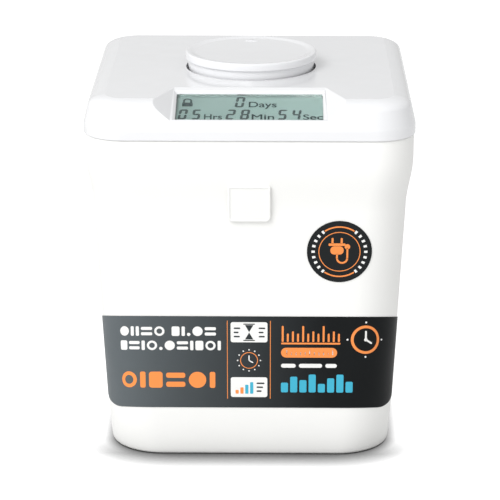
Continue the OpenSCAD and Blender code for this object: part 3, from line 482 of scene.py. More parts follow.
def rod(bm, radius, z0, z1, at=(0.0, 0.0), segments=96):
    made = bmesh.ops.create_cone(
        bm, cap_ends=True, segments=segments, radius1=radius, radius2=radius, depth=z1 - z0
    )["verts"]
    bmesh.ops.translate(bm, vec=(at[0], at[1], (z0 + z1) / 2), verts=made)
    return made


def turned(bm, profile, segments=160):
    """A closed turned solid from a profile of (radius, height) points that starts on the axis."""
    made = [bm.verts.new((r, 0.0, z)) for r, z in profile]
    edges = [bm.edges.new(pair) for pair in zip(made, made[1:])]
    bmesh.ops.spin(
        bm, geom=made + edges, cent=(0, 0, 0), axis=(0, 0, 1), angle=math.tau, steps=segments,
        use_merge=True,
    )
    bmesh.ops.remove_doubles(bm, verts=bm.verts, dist=0.0005)
    outward(bm)


def as_object(bm, name):
    mesh = bpy.data.meshes.new(name)
    bm.to_mesh(mesh)
    return link(name, mesh)


def carve(bm, tools, operation="DIFFERENCE"):
    """bm with each tool taken away or joined on, as a new mesh; the old ones are freed."""
    base = as_object(bm, "carve_base")
    helpers = [base]
    for k, tool in enumerate(tools):
        helper = as_object(tool, "carve_tool_%d" % k)
        tool.free()
        helpers.append(helper)
        cut = base.modifiers.new("Cut %d" % k, "BOOLEAN")
        cut.object = helper
        cut.operation = operation
        cut.solver = "EXACT"
    bm.free()
    bpy.context.view_layer.update()
    graph = bpy.context.evaluated_depsgraph_get()
    result = bpy.data.meshes.new_from_object(base.evaluated_get(graph))
    made = bmesh.new()
    made.from_mesh(result)
    bpy.data.meshes.remove(result)
    for helper in helpers:
        mesh = helper.data
        bpy.data.objects.remove(helper)
        bpy.data.meshes.remove(mesh)
    bmesh.ops.remove_doubles(made, verts=made.verts, dist=0.001)
    return made


def new_tool(maker, *args):
    """A separate mesh made by one helper."""
    bm = bmesh.new()
    maker(bm, *args)
    return bm


# ---- Shared forms ----------------------------------------------------------------------------

# How much the label's ends hang down on the corners, and between which distances from the tub
# its film, its print and its tile marks lie, and the sticker and its sign
LABEL_DROOP = 0.35
FILM = (0.02, 0.27)
INK = (0.265, 0.30)
MARKS = (0.295, 0.32)
STICKER = (0.05, 0.3)
SIGN = (0.295, 0.33)


class TubForm:
    """The tub's outside: half width and corner radius at each height, and its girth."""

    def __init__(self, sizes):
        self.s = sizes
        self.rim_z = mm(sizes.height)
        self.rim_half = mm(sizes.rim_half)
        self.flare_z = self.rim_z - mm(sizes.band_h) - mm(sizes.flare_h)
        self.mouth = self.rim_half - mm(sizes.rim_wall)

    def half(self, z):
        s = self.s
        side = self.rim_half - mm(s.flare_out) - s.taper * (self.flare_z - min(z, self.flare_z))
        t = smooth((z - self.flare_z) / mm(s.flare_h))
        foot = mm(s.draw_in) * max(1 - z / mm(s.draw_h), 0.0) ** 2
        return side * (1 - t) + self.rim_half * t - foot

    def corner(self, z):
        low, high = mm(self.s.corner_low), mm(self.s.corner_high)
        return low + (high - low) * z / self.rim_z

    def inside(self, z):
        half = min(self.half(z) - mm(self.s.wall), self.mouth)
        return half, self.corner(z) - (self.half(z) - half)

    def girth(self, u, z, out, droop=0.0):
        """The point u along the girth from the middle of the front, at height z, out from it.

        With droop, points on the corners hang lower the farther they lie back.
        """
        r = self.corner(z)
        flat = self.half(z) - r
        side = -1.0 if u < 0 else 1.0
        along = abs(u)
        if along <= flat:
            return Vector((u, -(flat + r + out), z))
        a = (along - flat) / r
        z -= droop * r * (1 - math.cos(a))
        r = self.corner(z)
        flat = self.half(z) - r
        return Vector((side * (flat + (r + out) * math.sin(a)), -(flat + (r + out) * math.cos(a)), z))


class LidForm:
    """The lid's side profile and the frame of its display."""

    def __init__(self, sizes):
        self.s = sizes
        self.top = mm(sizes.top)
        self.half = mm(sizes.half)
        self.lean_top = mm(sizes.lean_z) + mm(sizes.lean_h)
        self.lean_half = self.half - mm(sizes.lean_h) * math.tan(sizes.lean)
        self.crease_half = self.half - mm(sizes.crease_in)
        rise = self.top - self.lean_top
        inset = self.lean_half - self.crease_half
        tan_l, tan_c = math.tan(sizes.lean), math.tan(sizes.crease)
        control = (rise - inset * tan_c) * tan_l / (1 - tan_l * tan_c)
        self.low = Vector((self.lean_half, self.lean_top))
        self.mid = Vector((self.lean_half - control, self.top - (inset - control) * tan_c))
        self.high = Vector((self.crease_half, self.top))
        self.rate = mm(sizes.slope_drop) / mm(sizes.slope_run)
        self.angle = math.atan(self.rate)
        self.back_y = mm(sizes.slope_run) - self.half
        front_bar = 2.6
        self.mid_y = -self.half + front_bar + mm(sizes.display_h) * math.cos(self.angle) / 2
        self.mid_z = self.top + self.rate * (self.mid_y - self.back_y)
        self.glass_top = mm(sizes.window_recess)
        self.glass_low = mm(sizes.wall) * math.cos(self.angle)
        air_gap = 1.2
        self.panel_top = self.glass_low + air_gap

    def corner(self, half):
        return max(mm(self.s.corner) - (self.half - half), 1.0)

    def shoulder(self, t, inwards=0.0):
        p = (1 - t) ** 2 * self.low + 2 * t * (1 - t) * self.mid + t * t * self.high
        v = (1 - t) * (self.mid - self.low) + t * (self.high - self.mid)
        v.normalize()
        return p + inwards * Vector((-v.y, v.x))

    def on_slope(self):
        """The display's frame: X across, Y up the slope, Z out of it."""
        return Matrix.Translation((0, self.mid_y, self.mid_z)) @ Matrix.Rotation(self.angle, 4, "X")

    def wedge(self, bm, deep):
        """The space above the sloping face and between its flared sides."""
        # At the height of the top the sides open by 10.87 mm in 28 mm of depth, but along the
        # sloping face itself only by 0.9 mm from its back edge to the front
        flare_y = -10.87 / 28
        on_face = 0.9
        flare_z = (-flare_y * mm(self.s.slope_run) - on_face) / mm(self.s.slope_drop)
        corners = []
        for y in (-self.half - 10, self.back_y + 12):
            for z in (self.top + self.rate * (y - self.back_y) - deep, self.top + 15):
                x = (mm(self.s.slope_half) + deep + flare_y * (y - self.back_y)
                     + flare_z * (z - self.top + deep))
                corners += [bm.verts.new((-x, y, z)), bm.verts.new((x, y, z))]
        bmesh.ops.convex_hull(bm, input=corners)


def bend_onto_tub(bm, form, droop=0.0):
    """Bends a flat mesh (X along the girth, Y up, Z out) onto the tub's front and corners."""
    # Cuts every 1.6 mm across the girth beyond the flat middle, and every 6 mm up the height
    for axis, pitch, clear in ((0, 1.6, 40.0), (1, 6.0, 0.0)):
        low = min(v.co[axis] for v in bm.verts)
        high = max(v.co[axis] for v in bm.verts)
        for k in range(int(low / pitch) - 1, int(high / pitch) + 2):
            at = k * pitch
            if abs(at) >= clear and low < at < high:
                bmesh.ops.bisect_plane(
                    bm, geom=bm.verts[:] + bm.edges[:] + bm.faces[:], dist=0.001,
                    plane_co=(at, 0, 0) if axis == 0 else (0, at, 0),
                    plane_no=(1, 0, 0) if axis == 0 else (0, 1, 0),
                )
    for v in bm.verts:
        v.co = form.girth(v.co.x, v.co.y, v.co.z, droop)


def thicken(bm, faces, z0, z1):
    """Gives flat faces a thickness from z0 to z1."""
    verts = {v for f in faces for v in f.verts}
    for v in verts:
        v.co.z = z0
    made = bmesh.ops.extrude_face_region(bm, geom=list(faces), use_keep_orig=True)["geom"]
    top = [v for v in made if isinstance(v, bmesh.types.BMVert)]
    bmesh.ops.translate(bm, vec=(0, 0, z1 - z0), verts=top)


class PrintSheet:
    """Flat printed shapes, in millimetres, each with an ink number."""

    def __init__(self, low, high):
        self.bm = bmesh.new()
        self.low = low
        self.high = high

    def _done(self, faces, ink):
        before = set(self.bm.faces) - set(faces)
        thicken(self.bm, faces, self.low, self.high)
        for f in set(self.bm.faces) - before:
            f.material_index = ink

    def pill(self, x, y, w, h, ink, radius=None, steps=6):
        r = min(w, h) / 2 * 0.98 if radius is None else radius
        self._done([rounded_face(self.bm, w / 2, h / 2, r, steps, 0.0, (x + w / 2, y + h / 2))], ink)

    def disc(self, x, y, r, ink, segments=40):
        before = set(self.bm.faces)
        made = bmesh.ops.create_circle(self.bm, cap_ends=True, segments=segments, radius=r)["verts"]
        bmesh.ops.translate(self.bm, vec=(x, y, 0), verts=made)
        self._done([f for f in self.bm.faces if f not in before], ink)

    def arc(self, x, y, r_in, r_out, ink, start=0.0, turn=360.0, steps=48):
        before = set(self.bm.faces)
        a = math.radians(start)
        ends = [self.bm.verts.new((x + r * math.cos(a), y + r * math.sin(a), 0)) for r in (r_in, r_out)]
        edge = self.bm.edges.new(ends)
        full = turn >= 360.0
        bmesh.ops.spin(
            self.bm, geom=ends + [edge], cent=(x, y, 0), axis=(0, 0, 1),
            angle=math.radians(turn), steps=steps, use_merge=full,
        )
        self._done([f for f in self.bm.faces if f not in before], ink)

    def bar(self, x0, y0, x1, y1, w, ink):
        """A straight stroke with round ends, from one point to another."""
        run = Vector((x1 - x0, y1 - y0))
        face = rounded_face(self.bm, run.length / 2 + w / 2, w / 2, w * 0.49, 5)
        turn = Matrix.Rotation(math.atan2(run.y, run.x), 4, "Z")
        bmesh.ops.transform(
            self.bm, matrix=Matrix.Translation(((x0 + x1) / 2, (y0 + y1) / 2, 0)) @ turn,
            verts=list(face.verts),
        )
        self._done([face], ink)

    def beads(self, x, y, h, pattern, ink):
        """A row of plain shapes: O disc, o ring, I bar, H wide bar, = two lines, . small dot."""
        widths = {"O": 1.0, "o": 1.0, "I": 0.32, "H": 0.78, "=": 1.1, ".": 0.34, " ": 0.3}
        corners = {"I": 0.1, "H": 0.16}
        for sign in pattern:
            w = widths[sign] * h
            if sign == "o":
                self.arc(x + w / 2, y + w / 2, h * 0.28, w / 2, ink, steps=36)
            elif sign in "O.":
                self.disc(x + w / 2, y + w / 2, w / 2, ink, 40 if sign == "O" else 20)
            elif sign in corners:
                self.pill(x, y, w, h, ink, h * corners[sign], 4)
            elif sign == "=":
                for rise in (0.06, 0.62):
                    self.pill(x, y + h * rise, w, h * 0.32, ink, h * 0.12, 4)
            x += w + h * 0.2

    def dots(self, x, y, away, count, r, ink, segments):
        """Small discs in a circle."""
        for k in range(count):
            a = math.tau * k / count
            self.disc(x + away * math.cos(a), y + away * math.sin(a), r, ink, segments)

    def hands(self, x, y, ends, w, ink):
        """Strokes from one middle point, such as the hands of a clock."""
        for dx, dy in ends:
            self.bar(x, y, x + dx, y + dy, w, ink)

    def lay(self, name, form, inks, stands_for=(), droop=0.0):
        """Bends the sheet onto the tub and makes it a piece."""
        outward(self.bm)
        bend_onto_tub(self.bm, form, droop)
        finish_piece(name, self.bm, "base", inks, stands_for)

    def patch(self, points, ink):
        face = self.bm.faces.new([self.bm.verts.new((x, y, 0)) for x, y in points])
        self._done([face], ink)


# ---- Operators: the stage --------------------------------------------------------------------


class BuildStage(bpy.types.Operator):
    """Make the camera, the pale floor and the soft studio lights"""

    bl_idname = "lock_box.build_stage"
    bl_label = "Stage"

    def execute(self, context):
        scene = context.scene
        lens = bpy.data.cameras.new("camera")
        lens.sensor_width = 36.0
        lens.lens = 172.84
        camera = link("camera", lens)
        camera.location = (0.0141, -1.18116, 0.45796)
        camera.rotation_euler = (math.radians(72.47), 0.0, math.radians(0.71))
        scene.camera = camera

        bm = bmesh.new()
        bmesh.ops.create_grid(bm, x_segments=8, y_segments=8, size=4.0)
        mesh = bpy.data.meshes.new("studio_floor")
        bm.to_mesh(mesh)
        bm.free()
        pale_floor("pale floor")
        mesh.materials.append(bpy.data.materials["pale floor"])
        floor = link("studio_floor", mesh)

        self.build_world(scene)
        scene.view_settings.view_transform = "Standard"

        for name, place, size, power in (
            ("key", (-1.0, -1.25, 1.6), 1.2, 25.0),
            ("front fill", (-0.35, -2.1, 0.32), 0.8, 3.0),
        ):
            lamp = bpy.data.lights.new(name, "AREA")
            lamp.shape = "DISK"
            lamp.size = size
            lamp.energy = power
            holder = link(name, lamp)
            holder.location = place
            aim = Vector((0, 0, 0.1)) - Vector(place)
            holder.rotation_euler = aim.to_track_quat("-Z", "Y").to_euler()
        return {"FINISHED"}

    @staticmethod
    def build_world(scene, base=0.79, gain=0.18):
        """A white studio that is brightest towards the front left."""
        world = bpy.data.worlds.new("studio")
        scene.world = world
        world.use_nodes = True
        tree = world.node_tree
        place = add_node(tree, "ShaderNodeTexCoord").outputs["Generated"]
        towards = Vector((-0.8, -0.55, 0.15)).normalized()
        aim = add_node(
            tree, "ShaderNodeVectorMath", {0: place, 1: towards}, operation="DOT_PRODUCT")
        level = spread(tree, aim.outputs["Value"], base - gain, base + gain, -1.0, 1.0)
        seen = add_node(tree, "ShaderNodeLightPath").outputs["Is Camera Ray"]
        shown = add_node(
            tree, "ShaderNodeMix", {"Factor": seen, "A": level, "B": 1.0}).outputs["Result"]
        tree.links.new(shown, tree.nodes["Background"].inputs["Strength"])
        tree.nodes["Background"].inputs["Color"].default_value = grey(1.0)


# ---- Operators: the tub and what is on it ----------------------------------------------------


class BuildTub(bpy.types.Operator):
    """Loft the tub with its flared rim, charging port and strike pockets"""

    bl_idname = "lock_box.build_tub"
    bl_label = "Tub"

    def execute(self, context):
        sizes = context.scene.lock_box_tub
        form = TubForm(sizes)
        edge = mm(sizes.edge)
        lip, bowl = 0.8, 4.0
        levels = []

        def outside(z, drop=0.0):
            levels.append((form.half(z) - drop, form.corner(z) - drop, z))

        def within(z, drop=0.0):
            half, corner = form.inside(z)
            levels.append((half - drop, corner - drop, z))

        for c, n in quarter(5):
            outside(edge * (1 - c), edge * (1 - n))
        for z in (4, 7, 10.5, 14.5, 19, mm(sizes.draw_h), 45, 65, 85, 105, form.flare_z):
            outside(z)
        for k in range(1, 15):
            outside(form.flare_z + mm(sizes.flare_h) * k / 14)
        # The lip: rounded from the outside over to the mouth
        rim_corner = form.corner(form.rim_z)
        for c, n in quarter(4):
            drop = lip * (1 - c)
            levels.append((form.rim_half - drop, rim_corner - drop, form.rim_z - lip + lip * n))
        mouth, mouth_corner = form.inside(form.rim_z)
        for c, n in quarter(4):
            drop = lip * (1 - n)
            levels.append((mouth + drop, mouth_corner + drop, form.rim_z - lip + lip * c))
        flare = [form.flare_z + mm(sizes.flare_h) * k / 8 for k in range(8, -1, -1)]
        for z in flare + [90.0, 60.0, 30.0]:
            within(z)
        for c, n in reversed(quarter(5)):
            within(mm(sizes.floor) + bowl * (1 - c), bowl * (1 - n))
        bm = bmesh.new()
        loft(bm, levels, 14)
        cuts = [self.port_tool(form, sizes)] + [self.pocket_tool(form, side) for side in (-1, 1)]
        bm = carve(bm, cuts)
        outward(bm)
        finish_piece("tub", bm, "base", ["tub plastic"], ["base_tub"], sharp=40.0)
        return {"FINISHED"}

    @staticmethod
    def port_tool(form, sizes):
        half_w, half_h, mid = mm(sizes.port_w) / 2, mm(sizes.port_h) / 2, mm(sizes.port_z)
        return new_tool(block, (-half_w, -form.rim_half, mid - half_h),
                        (half_w, 1 - form.inside(mid - half_h)[0], mid + half_h))

    @staticmethod
    def pocket_tool(form, side):
        low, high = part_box("right_bolt")
        wide, gap = mm(high.y) + 1, 0.7
        near, far = sorted((side * (form.mouth - 0.5), side * (form.mouth + 3.0)))
        return new_tool(block, (near, -wide, mm(low.z) - gap), (far, wide, mm(high.z) + gap))


class BuildLabel(bpy.types.Operator):
    """Lay the dark band label round the front and print a plain pattern on it"""

    bl_idname = "lock_box.build_label"
    bl_label = "Band label"

    low, high, corner = 25.7, 74.2, 7.7

    def reach(self, form, z):
        """Half length of the label along the girth: its lower corners look round from the front."""
        rise = min(z - self.low, self.corner)
        inset = self.corner - math.sqrt(self.corner ** 2 - (self.corner - rise) ** 2)
        r = form.corner(z)
        return form.half(z) - r + r * min(math.asin(1 - inset / r), math.radians(88))

    def execute(self, context):
        form = TubForm(context.scene.lock_box_tub)
        bm = bmesh.new()
        made = bmesh.ops.create_grid(bm, x_segments=96, y_segments=16, size=1.0)["verts"]
        for v in made:
            row = round((v.co.y + 1) * 8)
            z = self.low + self.corner * (1 - math.cos(math.radians(90 * row / 8)))
            if row > 8:
                z = self.low + self.corner + (self.high - self.low - self.corner) * (row - 8) / 8
            v.co = (v.co.x * self.reach(form, z), z, 0)
        thicken(bm, list(bm.faces), *FILM)
        outward(bm)
        for v in bm.verts:
            v.co = form.girth(v.co.x, v.co.y, v.co.z, LABEL_DROOP)
        finish_piece("band_label", bm, "base", ["label film"], ["front_label"])
        self.print_pattern(form)
        return {"FINISHED"}

    def print_pattern(self, form):
        sheet = PrintSheet(*INK)
        white, orange, cyan, dark = 0, 1, 2, 3
        # Upright rules either side of the middle column
        for x in (-10.75, 10.35):
            sheet.pill(x - 0.16, 30.5, 0.32, 41.5, orange, 0.15, 3)
        left, middle, right = -64.2, -0.1, 15.6
        # Left: two rows of white beads over one row of larger orange ones
        for y, h, pattern, ink in ((63.8, 5.0, "OII=o HI.O=", white),
                                   (56.3, 5.0, "H=Io.O=IHoI", white),
                                   (36.2, 8.6, "oIH=OI", orange)):
            sheet.beads(left, y, h, pattern, ink)
        # Middle column: a tile with an hourglass, a dotted ring, a tile with a bar scale
        for y in (60.6, 31.4):
            sheet.pill(middle - 9.0, y, 18.0, 10.6, white, 1.1)
        sheet.arc(middle, 51.0, 4.0, 4.35, orange)
        sheet.dots(middle, 51.0, 5.6, 12, 0.36, white, 12)
        sheet.hands(middle, 51.0, ((0, 2.4), (1.8, -1.1)), 0.55, white)
        # Right: an orange time scale over a wide pill, a white line, a cyan stack, and a clock ring
        sheet.pill(right, 59.6, 29.1, 0.9, orange)
        for k in range(12):
            sheet.pill(15.9 + 2.5 * k, 60.9, 0.95, (8.4, 4.4, 5.6, 4.4)[k % 4], orange, 0.4, 4)
        sheet.pill(right, 52.6, 27.5, 5.2, orange)
        for k in range(11):
            sheet.pill(18.2 + 2.25 * k, 53.9, 0.5, (2.6, 1.5, 1.5, 1.5, 1.5)[k % 5], white, 0.2, 3)
        for x, w in ((15.6, 7.2), (24.4, 11.4), (37.4, 5.6)):
            sheet.pill(x, 47.2, w, 2.1, white)
        for k, h in enumerate((5.2, 8.4, 6.6, 9.6, 4.6, 7.6, 9.6, 5.8)):
            sheet.pill(right + 4.55 * k, 34.0, 3.5, h, cyan, 0.7)
        clock = (57.2, 62.2)
        sheet.arc(*clock, 6.1, 7.5, orange)
        sheet.hands(*clock, ((0, 4.2), (2.9, -1.8)), 0.95, white)
        sheet.disc(*clock, 0.9, white, 20)
        sheet.dots(*clock, 9.1, 4, 0.5, white, 14)
        inks = ["white ink", "orange ink", "cyan ink", "label film"]
        sheet.lay("band_print", form, inks, droop=LABEL_DROOP)
        # The tiles' own small marks lie on top of the white
        marks = PrintSheet(*MARKS)
        marks.patch([(-2.1, 69.7), (2.0, 69.7), (-0.05, 66.0)], dark)
        marks.patch([(-2.1, 62.1), (-0.05, 65.8), (2.0, 62.1)], dark)
        for y in (69.9, 61.3):
            marks.pill(-2.9, y, 5.7, 0.55, dark, 0.2, 3)
        for x in (-7.6, 4.6):
            for k, w in enumerate((3.2, 2.4, 3.0)):
                marks.pill(x, 67.6 - 2.2 * k, w, 0.8, dark)
        for k, (h, ink) in enumerate(((2.0, orange), (3.4, orange), (4.8, cyan), (6.2, cyan))):
            marks.pill(-6.8 + 2.4 * k, 33.2, 1.6, h, ink, 0.3, 3)
        for k in range(3):
            marks.pill(3.6, 38.4 - 2.1 * k, 3.9 - 0.7 * k, 0.8, dark)
        marks.lay("band_tile_marks", form, inks, droop=LABEL_DROOP)


class BuildSticker(bpy.types.Operator):
    """Lay the round sticker on the front and print a plain plug sign on it"""

    bl_idname = "lock_box.build_sticker"
    bl_label = "Round sticker"

    def execute(self, context):
        form = TubForm(context.scene.lock_box_tub)
        x, z, r = 43.6, 108.0, 15.7
        sheet = PrintSheet(*STICKER)
        sheet.disc(x, z, r, 0, 96)
        sheet.lay("round_label", form, ["sticker film"], ["round_sticker"])
        sign = PrintSheet(*SIGN)
        white, orange = 0, 1
        sign.arc(x, z, 9.75, 10.15, orange, steps=96)
        # Dashes where the lettering would be, with gaps for two orange arcs
        dashes, width = 28, 5.2
        for k in range(dashes):
            if not 4 < k % (dashes // 2) < 10:
                sign.arc(x, z, 11.9, 13.5, white, 360 * k / dashes - width / 2, width, 4)
        for start in (56, 236):
            sign.arc(x, z, 12.35, 13.05, orange, start, 68, 24)
        # Plug: prongs up, body, and a lead that loops down to the right
        for dx in (-2.2, 2.2):
            sign.bar(x + dx - 1.2, z + 4.4, x + dx - 1.2, z + 6.6, 1.0, orange)
        sign.pill(x - 5.3, z + 3.0, 8.2, 1.3, orange, 0.5)
        sign.pill(x - 4.4, z - 1.4, 6.4, 4.2, orange, 1.9)
        sign.bar(x - 1.2, z - 1.4, x - 1.2, z - 3.2, 0.9, orange)
        sign.arc(x + 1.3, z - 3.2, 2.05, 2.95, orange, 180, 180, 24)
        sign.bar(x + 3.8, z - 3.2, x + 3.8, z + 1.6, 0.9, orange)
        sign.disc(x + 3.8, z + 2.6, 1.35, orange, 28)
        sign.lay("round_print", form, ["white ink", "orange ink"])
        return {"FINISHED"}


class BuildPortPlug(bpy.types.Operator):
    """Make the bare square plug of the charging port"""

    bl_idname = "lock_box.build_port_plug"
    bl_label = "Port plug"

    def execute(self, context):
        sizes = context.scene.lock_box_tub
        form = TubForm(sizes)
        w, h, proud = 20.6, 18.6, 1.7
        z = mm(sizes.port_z)
        low, high = form.half(z - h / 2), form.half(z + h / 2)
        tilt = math.atan((high - low) / h)
        bm = bmesh.new()
        loops = []
        for inset, level in ((1.0, -0.6), (1.0, 0.5), (0.12, 0.58), (0, 0.7), (0, proud - 0.45),
                             (0.06, proud - 0.2), (0.2, proud - 0.06), (0.45, proud),
                             (0.95, proud), (1.08, proud - 0.1), (1.2, proud - 0.35)):
            # The neck under the face is cut back at its sides and below, and not above
            rise = inset / 2 if level < 0.55 else 0.0
            loops.append(outline(bm, w / 2 - inset, h / 2 - inset + rise, 2.5 - inset, 8, level,
                                 (0, rise), max(1.0 - inset, 0.3)))
        skin(bm, loops)
        place = Matrix.Translation((0, -(low + high) / 2, z)) @ Matrix.Rotation(
            math.radians(90) + tilt, 4, "X")
        move(bm, place)
        leg = bmesh.new()
        y0, y1 = -(low + high) / 2 - 0.4, -form.inside(z - 6)[0] + 0.7
        block(leg, (-6.7, y0, z - 5.7), (6.7, y1, z + 5.7))
        hollow = bmesh.new()
        block(hollow, (-5.3, y0 + 1.4, z - 4.3), (5.3, y1 + 1, z + 4.3))
        leg = carve(leg, [hollow])
        bm = carve(bm, [leg], "UNION")
        finish_piece(
            "port_plug_face", bm, "plug", ["plug plastic"], ["port_plug"],
            sharp=35.0, even=True,
        )
        return {"FINISHED"}


# ---- Operators: the lid ----------------------------------------------------------------------


class BuildLidCover(bpy.types.Operator):
    """Loft the lid cover and carve its display slope, dial well and window opening"""

    bl_idname = "lock_box.build_lid_cover"
    bl_label = "Lid cover"

    def execute(self, context):
        sizes = context.scene.lock_box_lid
        form = LidForm(sizes)
        skirt, lean_z = mm(sizes.skirt_z), mm(sizes.lean_z)
        profile = [(form.half, skirt), (form.half, lean_z - 1.0),
                   (form.half - 0.03, lean_z - 0.3), (form.half - 0.12, lean_z + 0.5)]
        profile += [(p.x, p.y) for p in (form.shoulder(k / 12) for k in range(13))]
        bm = bmesh.new()
        loft(bm, [(h, form.corner(h), z) for h, z in profile], 16)

        wall = mm(sizes.wall)
        inner = bmesh.new()
        inside = [(form.half - wall, skirt - 1), (form.half - wall, lean_z - 0.3)]
        inside += [(p.x, p.y) for p in (form.shoulder(k / 6, wall) for k in range(7))]
        loft(inner, [(h, form.corner(h), z) for h, z in inside], 16)
        gap, well_wall, shaft_hole_r, boss_z = 0.9, 1.8, 4.0, 174.2
        well_r = mm(sizes.collar_r) + gap
        inner = carve(inner, [
            new_tool(form.wedge, wall),
            new_tool(rod, well_r + well_wall, boss_z, form.top),
        ])
        opening = new_tool(self.opening, form, sizes)
        bm = carve(bm, [
            inner,
            new_tool(form.wedge, 0.0),
            new_tool(rod, well_r, boss_z + 2.0, form.top + 2, (0, 0), 160),
            new_tool(rod, shaft_hole_r, boss_z - 2, form.top, (0, 0), 48),
            opening,
        ])
        bmesh.ops.dissolve_limit(
            bm, angle_limit=math.radians(0.05), verts=bm.verts, edges=bm.edges,
        )
        for e in bm.edges:
            if all(v.co.z > form.top - 0.002 for v in e.verts):
                e.smooth = all(f.normal.z > 0.9999 for f in e.link_faces)
        finish_piece(
            "lid_shell", bm, "lid", ["lid plastic"], ["lid_cover"],
            bevel=0.3, bevel_angle=14.0, even=True,
        )
        return {"FINISHED"}

    @staticmethod
    def opening(bm, form, sizes):
        """The display opening, bevelled along its sides and its upper edge."""
        half_w, half_h = mm(sizes.display_w) / 2, mm(sizes.display_h) / 2
        deep, high = mm(sizes.window_recess), 1.0
        out = mm(sizes.display_bevel) * (1 + high / deep)
        skin(bm, [
            outline(bm, half_w + grow, half_h + grow / 2, 0.4, 4, z, (0, grow / 2))
            for grow, z in ((0, -6.0), (0, -deep), (out, high))
        ])
        move(bm, form.on_slope())


class BuildDisplay(bpy.types.Operator):
    """Make the window, the liquid-crystal panel and its segments"""

    bl_idname = "lock_box.build_display"
    bl_label = "Display"

    def execute(self, context):
        sizes = context.scene.lock_box_lid
        form = LidForm(sizes)
        place = form.on_slope()
        half_w, half_h = mm(sizes.display_w) / 2, mm(sizes.display_h) / 2

        def slab(z0, z1, *shape):
            bm = bmesh.new()
            thicken(bm, [rounded_face(bm, *shape)], z0, z1)
            outward(bm)
            move(bm, place)
            return bm

        window = slab(-form.panel_top + 0.05, -form.glass_top, half_w - 0.12, half_h - 0.12, 0.4, 4)
        piece = finish_piece(
            "window", window, "lid", ["window clear"], ["display_window"],
            bevel=0.15, bevel_steps=2,
        )
        piece.visible_shadow = False

        panel = slab(-form.panel_top - 2.6, -form.panel_top, half_w + 1.0, half_h + 0.25, 0.3, 3,
                     0.0, (0, 0.75))
        finish_piece(
            "crystal_panel", panel, "lid", ["liquid crystal"],
            ["display_panel"],
        )
        self.segments(place, -form.panel_top + 0.01)
        return {"FINISHED"}

    def segments(self, place, level):
        """The numbers, the unit words and the closed-lock sign, as thin dark shapes."""
        sheet, dark = PrintSheet(level, level + 0.03), 0
        for digit, x, y, w, h in (
            ("0", -7.3, 2.5, 4.3, 10.0),
            ("0", -34.4, -9.3, 4.1, 9.5), ("5", -27.9, -9.3, 4.1, 9.5),
            ("2", -11.5, -9.3, 4.2, 9.5), ("8", -4.7, -9.3, 4.2, 9.5),
            ("5", 13.2, -9.3, 4.2, 9.5), ("4", 19.9, -9.3, 4.2, 9.5),
        ):
            self.digit(sheet, digit, x, y, w, h)
        # Closed-lock sign
        sheet.pill(-32.5, 3.2, 5.1, 3.7, dark, 0.4, 3)
        sheet.arc(-29.95, 8.7, 1.25, 2.2, dark, 0, 180, 20)
        for x in (-32.15, -28.7):
            sheet.pill(x, 6.6, 0.95, 2.3, dark, 0.05, 2)
        for word, x, y, w, h in (
            ("Days", -0.4, 2.7, 13.4, 5.2), ("Hrs", -21.6, -9.2, 8.6, 4.9),
            ("Min", 1.1, -9.2, 10.8, 4.9), ("Sec", 25.7, -9.2, 9.4, 4.9),
        ):
            self.word(sheet.bm, word, x, y, w, h, level)
        outward(sheet.bm)
        move(sheet.bm, place)
        finish_piece(
            "crystal_segments", sheet.bm, "lid", ["segment dark"], (),
        )

    @staticmethod
    def digit(sheet, digit, x, y, w, h):
        """A leaning digit, made of its lit segments only."""
        lit = {"0": "abcdef", "2": "abged", "4": "fgbc", "5": "afgcd", "8": "abcdefg"}[digit]
        t, gap, lean = 1.25, 0.2, 0.11

        def at(px, py):
            return (x + px + lean * py, y + py)

        def flat_bar(py):
            return [at(gap, py + t / 2), at(t * 0.6 + gap, py), at(w - t * 0.6 - gap, py),
                    at(w - gap, py + t / 2), at(w - t * 0.6 - gap, py + t), at(t * 0.6 + gap, py + t)]

        def upright(px, y0, y1):
            return [at(px + t / 2, y0 + gap), at(px + t, y0 + gap + t * 0.6),
                    at(px + t, y1 - gap - t * 0.6), at(px + t / 2, y1 - gap),
                    at(px, y1 - gap - t * 0.6), at(px, y0 + gap + t * 0.6)]

        shapes = {
            "a": flat_bar(h - t), "g": flat_bar(h / 2 - t / 2), "d": flat_bar(0.0),
            "f": upright(0.0, h / 2, h), "b": upright(w - t, h / 2, h),
            "e": upright(0.0, 0.0, h / 2), "c": upright(w - t, 0.0, h / 2),
        }
        for key in lit:
            sheet.patch(shapes[key], 0)

    @staticmethod
    def word(bm, word, x, y, w, h, level):
        """A unit word, stretched to its width and height."""
        half_thick, swell = 0.015, 0.045
        text = bpy.data.curves.new("unit_word", "FONT")
        text.body = word
        text.size = 5.0
        text.extrude = half_thick
        text.bevel_depth = swell
        text.bevel_resolution = 0
        holder = link("unit_word", text)
        bpy.context.view_layer.update()
        graph = bpy.context.evaluated_depsgraph_get()
        mesh = bpy.data.meshes.new_from_object(holder.evaluated_get(graph))
        bpy.data.objects.remove(holder)
        bpy.data.curves.remove(text)
        before = set(bm.verts)
        bm.from_mesh(mesh)
        bpy.data.meshes.remove(mesh)
        made = [v for v in bm.verts if v not in before]
        xs = [v.co.x for v in made]
        top = max(v.co.y for v in made)
        wide = max(xs) - min(xs)
        for v in made:
            v.co = ((v.co.x - min(xs)) / wide * w + x, v.co.y / top * h + y,
                    level + half_thick + v.co.z)


